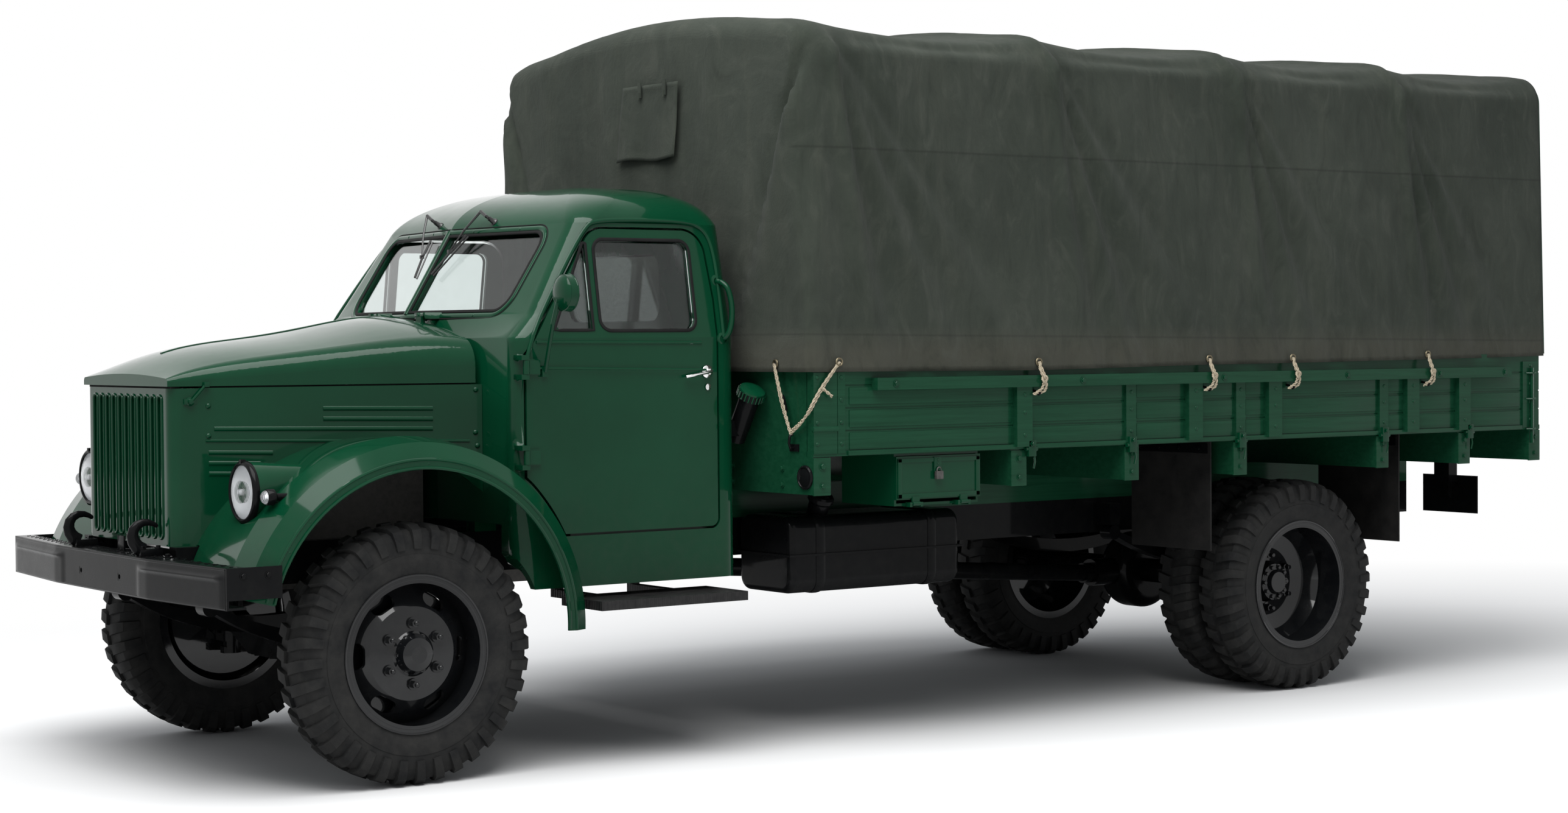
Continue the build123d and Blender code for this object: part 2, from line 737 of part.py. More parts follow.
def end_windows(grow):
    with BuildPart() as prism:
        with BuildSketch(across(cab_front_y - 50.0)):
            pane_mid_x = (pane_inner_x + pane_outer_x) / 2
            pane_mid_z = (pane_bottom_z + pane_top_z) / 2
            with Locations((pane_mid_x, pane_mid_z), (-pane_mid_x, pane_mid_z)):
                RectangleRounded(pane_outer_x - pane_inner_x, pane_top_z - pane_bottom_z, 45.0)
            if grow:
                offset(amount=grow)
        extrude(amount=-(cab_length / 2))
        with BuildSketch(across(cab_rear_y + 50.0)):
            with Locations((0, (rear_window_bottom_z + rear_window_top_z) / 2)):
                RectangleRounded(2 * rear_window_half, rear_window_top_z - rear_window_bottom_z, 60.0)
            if grow:
                offset(amount=grow)
        extrude(amount=cab_length / 2)
    return prism.part


door_solid = door_prism(0.0)
door_opening = door_prism(door_gap)
windows_side = side_windows(0.0)
windows_end = end_windows(0.0)

# Door hinges: a barrel on the door turns on a pin between two lugs of the cowl
hinge_x = cab_half_width + 16.0
hinge_y = front_axle_y + door_front - 14.0
hinge_zs = (1130.0, 1455.0)
barrel_radius = 12.0
barrel_length = 50.0
door_pin_radius = 6.0
lug_height = 18.0

# The sills run under the doors and belong to the floor
sill_top_z = door_bottom_z - door_gap
sill_front_y = front_axle_y + door_front + 200.0
sill_rear_y = front_axle_y + door_rear
with BuildPart() as sill_zone:
    with Locations((0, (sill_front_y + sill_rear_y) / 2, (cab_bottom_z + sill_top_z) / 2)):
        Box(3 * cab_half_width, sill_rear_y - sill_front_y, sill_top_z - cab_bottom_z)
split_y = front_axle_y + (door_front + door_rear) / 2
with BuildPart() as front_zone:
    with Locations((0, split_y - 1500.0, 1500.0)):
        Box(3 * cab_half_width, 3000.0, 3000.0)

# Cowl: front wall, windshield frame and the pillars ahead of the doors
with BuildPart() as cab_cowl:
    add(body_shell.part)
    add(front_zone.part, mode=Mode.INTERSECT)
    add(sill_zone.part, mode=Mode.SUBTRACT)
    add(door_opening, mode=Mode.SUBTRACT)
    mirror(door_opening, about=Plane.YZ, mode=Mode.SUBTRACT)
    add(windows_end, mode=Mode.SUBTRACT)
    with Locations((0, front_axle_y, axle_z)):
        Cylinder(steer_sweep_radius, 3 * cab_half_width, rotation=(0, 90, 0), mode=Mode.SUBTRACT)
    for sign in (1, -1):
        for hinge_z in hinge_zs:
            for level in (1, -1):
                lug_z = hinge_z + level * (barrel_length / 2 + lug_height / 2 + 1.0)
                with Locations((sign * (hinge_x - 20.0), hinge_y - 8.0, lug_z)):
                    Box(58.0, 32.0, lug_height)
            with Locations((sign * hinge_x, hinge_y, hinge_z)):
                Cylinder(door_pin_radius, barrel_length + lug_height)
        for end in (1, -1):
            lug_x = sign * hood_hinge_x + end * 32.0
            with Locations((lug_x, hood_hinge_y + 31.0, hood_hinge_z)):
                Box(20.0, 94.0, 24.0)
        with Locations((sign * hood_hinge_x, hood_hinge_y, hood_hinge_z)):
            Cylinder(hood_pin_radius, 64.0, rotation=(0, 90, 0))
cab_cowl.part.label = "cab_cowl"
export_step(cab_cowl.part, "parts/cab_cowl.step")

# Back wall with the pillars behind the doors
with BuildPart() as cab_back:
    add(body_shell.part)
    add(front_zone.part, mode=Mode.SUBTRACT)
    add(sill_zone.part, mode=Mode.SUBTRACT)
    add(door_opening, mode=Mode.SUBTRACT)
    mirror(door_opening, about=Plane.YZ, mode=Mode.SUBTRACT)
    add(windows_end, mode=Mode.SUBTRACT)
cab_back.part.label = "cab_back"
export_step(cab_back.part, "parts/cab_back.step")

with BuildPart() as cab_roof:
    add(cab_block(roof_sections, 0.0, 0.0, False))
    add(cab_block(roof_sections, cab_wall, cab_wall, False), mode=Mode.SUBTRACT)
cab_roof.part.label = "cab_roof"
export_step(cab_roof.part, "parts/cab_roof.step")

# Floor plate between the walls, with the sills under the doors and pads on the frame
floor_top_z = floor_bottom + cab_floor_thickness
flange_x = cab_half_width - cab_wall - 22.0
pad_x = rail_outer_x - rail_flange / 2
pad_stations = (cab_front_y + 120.0, cab_rear_y - 120.0)
with BuildPart() as cab_floor:
    add(lower_inner)
    with Locations((0, (cab_front_y + cab_rear_y) / 2, floor_bottom + cab_floor_thickness / 2)):
        Box(2 * flange_x, 2 * cab_length, cab_floor_thickness, mode=Mode.INTERSECT)
    for sign in (1, -1):
        sill_mid_y = (sill_front_y + sill_rear_y) / 2
        with Locations((sign * (flange_x - 1.0), sill_mid_y, (cab_bottom_z + floor_top_z) / 2)):
            Box(30.0, sill_rear_y - sill_front_y, floor_top_z - cab_bottom_z)
        with Locations((sign * (flange_x + 14.0), sill_mid_y, (cab_bottom_z + sill_top_z) / 2)):
            Box(24.0, sill_rear_y - sill_front_y, sill_top_z - cab_bottom_z)
        for pad_y in pad_stations:
            with Locations((sign * pad_x, pad_y, (rail_top_z + floor_bottom) / 2)):
                Box(rail_flange, 90.0, floor_bottom - rail_top_z)
    with BuildPart(mode=Mode.PRIVATE) as sills:
        add(body_shell.part)
        add(sill_zone.part, mode=Mode.INTERSECT)
    add(sills.part)
cab_floor.part.label = "cab_floor"
export_step(cab_floor.part, "parts/cab_floor.step")

with BuildPart() as cab_glass:
    add(glass_shell.part)
    add(end_windows(-seat_clearance), mode=Mode.INTERSECT)
cab_glass.part.label = "cab_glass"
export_step(cab_glass.part, "parts/cab_glass.step")

for side, sign in sides:
    with BuildPart() as door:
        add(body_shell.part)
        add(door_solid, mode=Mode.INTERSECT)
        add(windows_side, mode=Mode.SUBTRACT)
        for hinge_z in hinge_zs:
            with Locations((hinge_x, hinge_y, hinge_z)):
                Cylinder(barrel_radius, barrel_length)
            with Locations((hinge_x - 9.0, hinge_y + 30.0, hinge_z)):
                Box(12.0, 60.0, barrel_length)
            with Locations((hinge_x - 15.0, hinge_y + 42.0, hinge_z)):
                Box(24.0, 36.0, barrel_length)
            with Locations((hinge_x, hinge_y, hinge_z)):
                Cylinder(door_pin_radius + hub_fit, 2 * barrel_length, mode=Mode.SUBTRACT)
        if sign < 0:
            mirror(about=Plane.YZ, mode=Mode.REPLACE)
    door.part.label = f"door_{side}"
    export_step(door.part, f"parts/door_{side}.step")

    with BuildPart() as door_glass:
        add(glass_shell.part)
        add(side_windows(-seat_clearance), mode=Mode.INTERSECT)
        if sign < 0:
            mirror(about=Plane.YZ, mode=Mode.REPLACE)
    door_glass.part.label = f"door_glass_{side}"
    export_step(door_glass.part, f"parts/door_glass_{side}.step")

# Fenders: one turned section with a headlamp pod in front, trimmed by the bay and the cab
# Columns: offset across, radius
fender_section = (
    (380.0, fender_crown_radius - fender_fall),
    (fender_crown_x, fender_crown_radius),
    (fender_shoulder_x, fender_crown_radius - fender_fall),
    (fender_outer_x, arch_radius + 34.0),
    (fender_outer_x, arch_radius),
)
lamp_x = 690.0
lamp_y = front_axle_y - 545.0
lamp_z = 1040.0
lamp_radius = 104.0
pod_length = 330.0
start = radians(fender_start_deg)
for side, sign in sides:
    with BuildPart() as fender:
        with BuildSketch(Plane((0, arch_y, arch_z), (1, 0, 0), (0, -sin(start), cos(start)))):
            with BuildLine():
                skin = list(fender_section)
                lip_x = fender_outer_x - fender_wall
                under = [(min(x, lip_x), r - fender_wall) for x, r in skin[:-1]]
                under.append((lip_x, arch_radius))
                Polyline(*skin, *reversed(under), close=True)
            make_face()
        revolve(axis=Axis((0, arch_y, arch_z), (1, 0, 0)), revolution_arc=fender_arc_deg)
        with BuildSketch(across(lamp_y)):
            with Locations((lamp_x, lamp_z)):
                Circle(lamp_radius)
        with BuildSketch(across(lamp_y + pod_length)):
            with Locations((lamp_x + 10.0, lamp_z + 40.0)):
                Circle(38.0)
        loft()
        with BuildSketch(Plane.XY.offset(cab_bottom_z - 300.0)):
            with BuildLine():
                Polyline(
                    (-100.0, front_end_y),
                    (bay_half_width(front_end_y), front_end_y),
                    (bay_half_width(panel_rear_y), panel_rear_y),
                    (-100.0, panel_rear_y),
                    close=True,
                )
            make_face()
            with Locations((0, cab_front_y + 500.0)):
                Rectangle(2 * cab_half_width, 1000.0)
        extrude(amount=1500.0, mode=Mode.SUBTRACT)
        with Locations((0, arch_y, rail_top_z / 2)):
            Box(2 * rail_outer_x + 12.0, 2000.0, rail_top_z + 10.0, mode=Mode.SUBTRACT)
        with Locations((lamp_x, lamp_y - 60.0, lamp_z)):
            Cylinder(lamp_radius + 4.5, 120.0, rotation=(90, 0, 0), mode=Mode.SUBTRACT)
        with Locations((lamp_x, arch_y, arch_z)):
            hollow_width = 2 * (fender_outer_x - lamp_x - 60.0)
            Cylinder(arch_radius + 40.0, hollow_width, rotation=(0, 90, 0), mode=Mode.SUBTRACT)
        if sign < 0:
            mirror(about=Plane.YZ, mode=Mode.REPLACE)
    fender.part.label = f"fender_{side}"
    export_step(fender.part, f"parts/fender_{side}.step")

# Headlamps: a lens with a rim ring on the front of each pod, and a small side lamp outboard of each
side_lamp_x = lamp_x + 146.0
side_lamp_y = lamp_y + 10.0
side_lamp_z = lamp_z - 12.0
stalk_radius = 13.0
rim_depth = 24.0
lens_radius = 90.0
lens_recess = 8.0
lens_dome = 26.0
stalk_share = (side_lamp_x - stalk_radius - fender_crown_x) / (fender_shoulder_x - fender_crown_x)
stalk_seat_radius = fender_crown_radius - fender_fall * stalk_share + seat_clearance
with BuildPart() as headlamps:
    for sign in (1, -1):
        with Locations((sign * lamp_x, lamp_y - rim_depth / 2, lamp_z)):
            Cylinder(lamp_radius + 4.0, rim_depth, rotation=(90, 0, 0))
        with Locations((sign * lamp_x, lamp_y - rim_depth, lamp_z)):
            Cylinder(lens_radius + 4.0, 2 * lens_recess, rotation=(90, 0, 0), mode=Mode.SUBTRACT)
        lens_y = lamp_y - rim_depth + lens_recess
        with BuildSketch(Plane.XY.offset(lamp_z)):
            with BuildLine():
                lens_start = (sign * lamp_x, lens_y - lens_dome)
                lens_middle = (sign * lamp_x + 0.55 * lens_radius, lens_y - 0.70 * lens_dome)
                lens_edge = (sign * lamp_x + lens_radius, lens_y)
                ThreePointArc(lens_start, lens_middle, lens_edge)
                Polyline(lens_edge, (sign * lamp_x, lens_y), lens_start)
            make_face()
        revolve(axis=Axis((sign * lamp_x, 0, lamp_z), (0, 1, 0)))
    for sign in (1, -1):
        with Locations((sign * side_lamp_x, side_lamp_y, side_lamp_z)):
            Cylinder(28.0, 56.0, rotation=(90, 0, 0))
        with Locations((sign * side_lamp_x, side_lamp_y + 60.0, side_lamp_z)):
            Cylinder(stalk_radius, 100.0, rotation=(90, 0, 0))
    with Locations((0, arch_y, arch_z)):
        Cylinder(stalk_seat_radius, 3000.0, rotation=(0, 90, 0), mode=Mode.SUBTRACT)
headlamps.part.label = "headlamps"
export_step(headlamps.part, "parts/headlamps.step")

# Bumper: a channel with swept ends and a tread deck back to the grille
bumper_bottom_z = 668.0
bumper_height = 140.0
bumper_half_width = 980.0
bumper_wall = 8.0
bumper_sweep = 46.0
bumper_flat_half = 430.0
bumper_depth = 70.0
deck_rear_y = grille_face_y - 6.0
hole_radius = 9.0
bolt_spacing = 360.0
with BuildPart() as front_bumper:
    for z, height, depth in (
        (bumper_bottom_z, bumper_wall, bumper_depth),
        (bumper_bottom_z, bumper_height, bumper_wall),
        (bumper_bottom_z + bumper_height - bumper_wall, bumper_wall, bumper_depth),
    ):
        with BuildSketch(Plane.XY.offset(z)):
            with BuildLine():
                Polyline(
                    (-bumper_half_width, front_end_y + bumper_sweep),
                    (-bumper_flat_half, front_end_y),
                    (bumper_flat_half, front_end_y),
                    (bumper_half_width, front_end_y + bumper_sweep),
                    (bumper_half_width, front_end_y + bumper_sweep + depth),
                    (bumper_flat_half, front_end_y + depth),
                    (-bumper_flat_half, front_end_y + depth),
                    (-bumper_half_width, front_end_y + bumper_sweep + depth),
                    close=True,
                )
            make_face()
        extrude(amount=height)
    deck_z = bumper_bottom_z + bumper_height - bumper_wall / 2
    with Locations((0, (front_end_y + bumper_wall + deck_rear_y) / 2, deck_z)):
        Box(2 * shell_half_width, deck_rear_y - front_end_y - bumper_wall, bumper_wall)
    for sign in (1, -1):
        plate_x = sign * (bumper_half_width - bumper_wall / 2)
        with Locations((plate_x, front_end_y + bumper_sweep + 100.0, deck_z - 50.0)):
            Box(bumper_wall, 200.0, 100.0 + bumper_wall)
        arm_front_y = front_end_y + bumper_wall
        with Locations((sign * (rail_outer_x - 20.0), (arm_front_y + rail_front_y) / 2, rail_bottom_z + 40.0)):
            Box(40.0, rail_front_y - arm_front_y, 70.0)
    with Locations((bolt_spacing / 2, front_end_y, 730.0), (-bolt_spacing / 2, front_end_y, 730.0)):
        Cylinder(hole_radius, 60.0, rotation=(90, 0, 0), mode=Mode.SUBTRACT)
front_bumper.part.label = "front_bumper"
export_step(front_bumper.part, "parts/front_bumper.step")

# Tow hooks stand on the bumper deck over the rails
hook_x = 300.0
hook_y = front_end_y + 44.0
hook_base_z = bumper_bottom_z + bumper_height
with BuildPart() as tow_hooks:
    for sign in (1, -1):
        with Locations((sign * hook_x, hook_y + 20.0, hook_base_z + 8.0)):
            Box(50.0, 90.0, 16.0)
        with BuildSketch(along(sign * hook_x)):
            with Locations((hook_y, hook_base_z + 72.0)):
                Circle(58.0)
                Circle(34.0, mode=Mode.SUBTRACT)
            with Locations((hook_y + 38.0, hook_base_z + 68.0)):
                Rectangle(60.0, 44.0, mode=Mode.SUBTRACT)
        extrude(amount=15.0, both=True)
tow_hooks.part.label = "tow_hooks"
export_step(tow_hooks.part, "parts/tow_hooks.step")

# Running boards on brackets from the frame
board_z = 592.0
board_front_y = arch_y + fender_crown_radius + 6.0
board_rear_y = front_axle_y + 1330.0
with BuildPart() as running_boards:
    for sign in (1, -1):
        with Locations((sign * 860.0, (board_front_y + board_rear_y) / 2, board_z)):
            Box(280.0, board_rear_y - board_front_y, 34.0)
        for station in (board_front_y + 150.0, board_rear_y - 150.0):
            with Locations((sign * (rail_outer_x + 780.0) / 2, station, board_z - 1.0)):
                Box(780.0 - rail_outer_x, 40.0, 30.0)
            with Locations((sign * (rail_outer_x + 15.0), station, (board_z + rail_bottom_z + 60.0) / 2)):
                Box(30.0, 40.0, rail_bottom_z + 60.0 - board_z + 30.0)
running_boards.part.label = "running_boards"
export_step(running_boards.part, "parts/running_boards.step")

# Dashboard, seat, column and wheel inside the cab
dash_z = 1440.0
dash_depth = 180.0
with BuildPart() as dashboard:
    with Locations((0, cab_front_y + cab_wall + dash_depth / 2, dash_z)):
        Box(2 * (cab_half_width - cab_wall - 60.0), dash_depth, 190.0)
    add(lower_inner, mode=Mode.INTERSECT)
dashboard.part.label = "dashboard"
export_step(dashboard.part, "parts/dashboard.step")

seat_half_width = 700.0
seat_front_y = cab_rear_y - cab_wall - 560.0
seat_bottom_z = floor_bottom + cab_floor_thickness
with BuildPart() as seat_base:
    with Locations((0, seat_front_y + 260.0, seat_bottom_z + 90.0)):
        Box(2 * seat_half_width, 440.0, 180.0)
seat_base.part.label = "seat_base"
export_step(seat_base.part, "parts/seat_base.step")
with BuildPart() as seat:
    with Locations((0, seat_front_y + 220.0, seat_bottom_z + 180.0 + 75.0 + seat_clearance)):
        Box(2 * seat_half_width, 440.0, 150.0)
    fillet(seat.edges().filter_by(Axis.X), 40.0)
    with Locations((0, cab_rear_y - cab_wall - 50.0 - seat_clearance, seat_bottom_z + 430.0)):
        Box(2 * seat_half_width, 100.0, 480.0)
    fillet(seat.edges(Select.LAST).filter_by(Axis.X), 35.0)
seat.part.label = "seat"
export_step(seat.part, "parts/seat.step")

steer_wheel_x = 370.0
steer_wheel_radius = 215.0
column_tilt = 38.0
column_top = (steer_wheel_x, cab_front_y + 390.0, 1450.0)
column_axis = (0.0, sin(radians(90.0 - column_tilt)), cos(radians(90.0 - column_tilt)))
column_length = 385.0
column_plane = Plane(column_top, (1, 0, 0), column_axis)
with BuildPart() as steering_column:
    with BuildSketch(column_plane.offset(-20.0)):
        Circle(26.0)
    extrude(amount=-column_length)
    with BuildSketch(column_plane.offset(-25.0)):
        Circle(9.0)
    extrude(amount=45.0)
    with Locations((steer_wheel_x, cab_front_y + cab_wall + dash_depth + 20.0, dash_z - 65.0)):
        Box(70.0, 60.0, 90.0)
    add(dashboard.part, mode=Mode.SUBTRACT)
steering_column.part.label = "steering_column"
export_step(steering_column.part, "parts/steering_column.step")

with BuildPart() as steering_wheel:
    with BuildSketch(column_plane.rotated((90, 0, 0))):
        with Locations((steer_wheel_radius - 13.0, 0)):
            Circle(13.0)
    revolve(axis=Axis(column_top, column_axis))
    with BuildSketch(column_plane):
        with PolarLocations(steer_wheel_radius / 2, 3, start_angle=90):
            Rectangle(steer_wheel_radius - 20.0, 22.0)
        Circle(38.0)
    extrude(amount=9.0, both=True)
    with BuildSketch(column_plane.offset(-18.0)):
        Circle(9.0 + hub_fit)
    extrude(amount=60.0, mode=Mode.SUBTRACT)
steering_wheel.part.label = "steering_wheel"
export_step(steering_wheel.part, "parts/steering_wheel.step")

# Mirror on an arm from the upper hinge of the left door
mirror_x = 1000.0
mirror_y = front_axle_y + 545.0
mirror_z = 1720.0
with BuildPart() as mirror_left:
    with BuildLine():
        arm = Polyline(
            (cab_half_width + 10.0, hinge_y + 82.0, 1440.0),
            (mirror_x - 50.0, mirror_y - 25.0, mirror_z - 110.0),
            (mirror_x, mirror_y - 25.0, mirror_z),
        )
    with BuildSketch(Plane(arm @ 0, z_dir=arm % 0)):
        Circle(8.0)
    sweep(path=arm, transition=Transition.ROUND)
    with Locations((mirror_x, mirror_y, mirror_z)):
        Cylinder(66.0, 30.0, rotation=(90, 0, 0))
    with Locations((mirror_x, mirror_y - 15.0, mirror_z)):
        Sphere(18.0)
    with Locations((cab_half_width + 2.0, hinge_y + 82.0, 1440.0)):
        Box(20.0, 24.0, 40.0)
    add(body_shell.part, mode=Mode.SUBTRACT)
mirror_left.part.label = "mirror_left"
export_step(mirror_left.part, "parts/mirror_left.step")

# Fuel tank under the bed on the left, hung from the rail by two straps
tank_front_y = front_axle_y + 1660.0
tank_length = 850.0
tank_low_z = 560.0
tank_height = 300.0
tank_inner_x = 470.0
tank_outer_x = 820.0
with BuildPart() as fuel_tank:
    tank_mid_x = (tank_inner_x + tank_outer_x) / 2
    tank_mid = (tank_mid_x, tank_front_y + tank_length / 2, tank_low_z + tank_height / 2)
    with Locations(tank_mid):
        Box(tank_outer_x - tank_inner_x, tank_length, tank_height)
    fillet(fuel_tank.edges().filter_by(Axis.Y), 55.0)
    fillet(fuel_tank.edges().group_by(Axis.Y)[0], 25.0)
    fillet(fuel_tank.edges().group_by(Axis.Y)[-1], 25.0)
    with Locations(tank_mid):
        Box(tank_outer_x - tank_inner_x + 24.0, tank_length + 24.0, 8.0)
    with Locations((tank_outer_x - 90.0, tank_front_y + 200.0, tank_low_z + tank_height + 20.0)):
        Cylinder(42.0, 80.0, rotation=(0, 25, 0))
    for station in (tank_front_y + 180.0, tank_front_y + tank_length - 180.0):
        arm_end_x = tank_inner_x + 60.0
        with Locations(((rail_outer_x + arm_end_x) / 2, station, tank_low_z + tank_height - 70.0)):
            Box(arm_end_x - rail_outer_x, 50.0, 60.0)
fuel_tank.part.label = "fuel_tank"
export_step(fuel_tank.part, "parts/fuel_tank.step")

# Filler neck behind the cab on the left
with BuildPart() as fuel_filler:
    with Locations(Location((cab_half_width - 60.0, cab_rear_y + 58.0, 1250.0), (0, 32, 0))):
        Cylinder(40.0, 190.0)
        with Locations((0, 0, 108.0)):
            Cylinder(52.0, 30.0)
    with Locations((cab_half_width - 90.0, cab_rear_y + 22.0, 1210.0)):
        Box(60.0, 44.0, 60.0)
fuel_filler.part.label = "fuel_filler"
export_step(fuel_filler.part, "parts/fuel_filler.step")

# Load bed floor: planks on cross bearers and two long sills on the frame
inner_half_width = bed_half_width - board_thickness
floor_front_y = bed_front_y + board_thickness + seat_clearance
tail_thickness = 40.0
tail_inner_y = bed_rear_y - tail_thickness
gate_bottom_z = board_bottom_z
gate_hinge_y = bed_rear_y + 22.0
gate_hinge_z = board_bottom_z - 14.0
floor_rear_y = tail_inner_y - 6.0
gate_hinge_x = bed_half_width - 342.0
gate_hinge_xs = (-gate_hinge_x, 0.0, gate_hinge_x)
gate_pin_radius = 8.0
gate_lug_rear_y = gate_hinge_y + 14.0
with BuildPart() as bed_floor:
    with Locations((0, (floor_front_y + floor_rear_y) / 2, floor_bottom_z + floor_thickness / 2)):
        Box(2 * inner_half_width - 4.0, floor_rear_y - floor_front_y, floor_thickness)
    bearer_rows = [front_axle_y + station for station in bearer_stations]
    bearer_rows += [bed_front_y + bearer_width / 2, bed_rear_y - bearer_width / 2]
    for bearer_y in bearer_rows:
        with Locations((0, bearer_y, (bearer_bottom_z + floor_bottom_z) / 2)):
            Box(2 * bed_half_width, bearer_width, floor_bottom_z - bearer_bottom_z)
    for sign in (1, -1):
        sill_mid_x = sign * (rail_outer_x - rail_flange / 2)
        with Locations((sill_mid_x, (bed_front_y + rail_rear_y) / 2, (rail_top_z + bearer_bottom_z) / 2)):
            Box(rail_flange, rail_rear_y - bed_front_y, bearer_bottom_z - rail_top_z)
    for hinge_at in gate_hinge_xs:
        with Locations((hinge_at, gate_hinge_y, gate_hinge_z)):
            Cylinder(gate_pin_radius, 104.0, rotation=(0, 90, 0))
        for end in (1, -1):
            lug_x = hinge_at + end * 40.0
            with Locations((lug_x, (bed_rear_y + gate_lug_rear_y) / 2, gate_hinge_z - 10.0)):
                Box(20.0, gate_lug_rear_y - bed_rear_y, 44.0)
bed_floor.part.label = "bed_floor"
export_step(bed_floor.part, "parts/bed_floor.step")

with BuildPart() as bed_front_board:
    with Locations((0, bed_front_y + board_thickness / 2, (floor_bottom_z + board_top_z) / 2)):
        Box(2 * (inner_half_width - 6.0), board_thickness, board_top_z - floor_bottom_z)
bed_front_board.part.label = "bed_front_board"
export_step(bed_front_board.part, "parts/bed_front_board.step")

# Side boards: grooved planks, a corner post, uprights and the lashing rail
lashing_front_y = front_axle_y + 1810.0
lashing_rear_y = rear_end_y - 282.0
plank_height = board_height / plank_count
post_top_z = cover_hem_z - 6.0
upright_top_z = lashing_rail_top_z - rail_depth
# Corner posts, wooden uprights and narrow straps on the outside of the boards.
# Columns: station from the front axle, width, depth, top
side_battens = (
    (1585.0, 110.0, 8.0, post_top_z),
    (1662.0, 36.0, 6.0, post_top_z),
    (2560.0, 80.0, 26.0, upright_top_z),
    (3148.0, 56.0, 14.0, upright_top_z),
    (3506.0, 80.0, 26.0, upright_top_z),
    (3783.0, 56.0, 14.0, upright_top_z),
    (3981.0, 80.0, 26.0, upright_top_z),
    (4682.0, 56.0, 14.0, upright_top_z),
    (4864.0, 80.0, 26.0, upright_top_z),
    (5215.0, 80.0, 26.0, upright_top_z),
    (5700.0, 106.0, 8.0, post_top_z),
)
for side, sign in sides:
    with BuildPart() as bed_side:
        board_mid_x = sign * (bed_half_width - board_thickness / 2)
        with Locations((board_mid_x, (bed_front_y + bed_rear_y) / 2, board_bottom_z + board_height / 2)):
            Box(board_thickness, bed_rear_y - bed_front_y, board_height)
        for row in range(1, plank_count):
            groove_z = board_bottom_z + row * plank_height
            with Locations((sign * bed_half_width, (bed_front_y + bed_rear_y) / 2, groove_z)):
                Box(plank_groove, bed_rear_y - bed_front_y, plank_groove, mode=Mode.SUBTRACT)
        for station, width, depth, top_z in side_battens:
            batten_x = sign * (bed_half_width + depth / 2)
            with Locations((batten_x, front_axle_y + station, (board_bottom_z + top_z) / 2)):
                Box(depth, width, top_z - board_bottom_z)
        with Locations(
            (
                sign * (bed_half_width + lashing_rail_x) / 2,
                (lashing_front_y + lashing_rear_y) / 2,
                lashing_rail_top_z - rail_depth / 2,
            )
        ):
            Box(lashing_rail_x - bed_half_width, lashing_rear_y - lashing_front_y, rail_depth)
        with Locations((board_mid_x, (bed_front_y + bed_rear_y) / 2, board_bottom_z)):
            Box(board_thickness + 8.0, bed_rear_y - bed_front_y, 20.0)
        add(bed_floor.part, mode=Mode.SUBTRACT)
    bed_side.part.label = f"bed_side_{side}"
    export_step(bed_side.part, f"parts/bed_side_{side}.step")

# Tailgate hinged at its foot behind the rear bearer
gate_side_clearance = 7.0
with BuildPart() as tailgate:
    with Locations((0, bed_rear_y - tail_thickness / 2, gate_bottom_z + board_height / 2)):
        Box(2 * (inner_half_width - gate_side_clearance), tail_thickness, board_height)
    for row in range(1, plank_count):
        with Locations((0, bed_rear_y, gate_bottom_z + row * plank_height)):
            Box(2 * bed_half_width, plank_groove, plank_groove, mode=Mode.SUBTRACT)
    for hinge_at in gate_hinge_xs:
        with Locations((hinge_at, bed_rear_y + 6.0, gate_bottom_z + 110.0)):
            Box(50.0, 12.0, 220.0)
        with Locations((hinge_at, gate_hinge_y, gate_hinge_z)):
            Cylinder(16.0, 50.0, rotation=(0, 90, 0))
        with Locations((hinge_at, gate_hinge_y - 8.0, gate_hinge_z + 16.0)):
            Box(50.0, 14.0, 34.0)
        with Locations((hinge_at, gate_hinge_y, gate_hinge_z)):
            Cylinder(gate_pin_radius + hub_fit, 120.0, rotation=(0, 90, 0), mode=Mode.SUBTRACT)
tailgate.part.label = "tailgate"
export_step(tailgate.part, "parts/tailgate.step")


# Cover bows: flat-topped hoops that stand in the side boards
def cover_outline(inset, low_z):
    """Half-closed hoop outline of the cover, inset by a distance, down to low_z."""
    half = cover_half_width - inset
    shoulder = cover_shoulder_half_width - inset
    eaves = cover_eaves_z - inset
    crown = cover_crown_z - inset
    with BuildSketch() as outline:
        with BuildLine():
            top = ThreePointArc((shoulder, eaves), (0, crown), (-shoulder, eaves))
            Polyline(top @ 1, (-half, low_z), (half, low_z), top @ 0)
        make_face()
        fillet(vertices().sort_by(Axis.Y)[-2:], cover_shoulder_radius - min(inset, 60.0))
    return outline.sketch


bow_foot_z = board_bottom_z + floor_thickness + 30.0
bow_inset = cover_thickness + seat_clearance
with BuildPart() as cover_bows:
    for station in bow_stations:
        with BuildSketch(across(front_axle_y + station + bow_bar / 2)):
            add(cover_outline(bow_inset, bow_foot_z))
            add(cover_outline(bow_inset + bow_bar, bow_foot_z - 50.0), mode=Mode.SUBTRACT)
        extrude(amount=-bow_bar)
    for sign in (1, -1):
        with Locations((sign * (inner_half_width + 500.0), 0, (bow_foot_z + board_top_z) / 2)):
            Box(1000.0, 9000.0, board_top_z - bow_foot_z, mode=Mode.SUBTRACT)
cover_bows.part.label = "cover_bows"
export_step(cover_bows.part, "parts/cover_bows.step")

cover_front_y = bed_front_y - cover_thickness - 4.0
cover_rear_y = rear_end_y - 12.0
with BuildPart() as cover:
    with BuildSketch(across(cover_front_y)):
        add(cover_outline(0.0, cover_hem_z))
    extrude(amount=-(cover_rear_y - cover_front_y))
    with BuildSketch(across(cover_front_y + cover_thickness)):
        add(cover_outline(cover_thickness, cover_hem_z - 50.0))
    extrude(amount=-(cover_rear_y - cover_front_y), mode=Mode.SUBTRACT)
cover.part.label = "cover"
export_step(cover.part, "parts/cover.step")

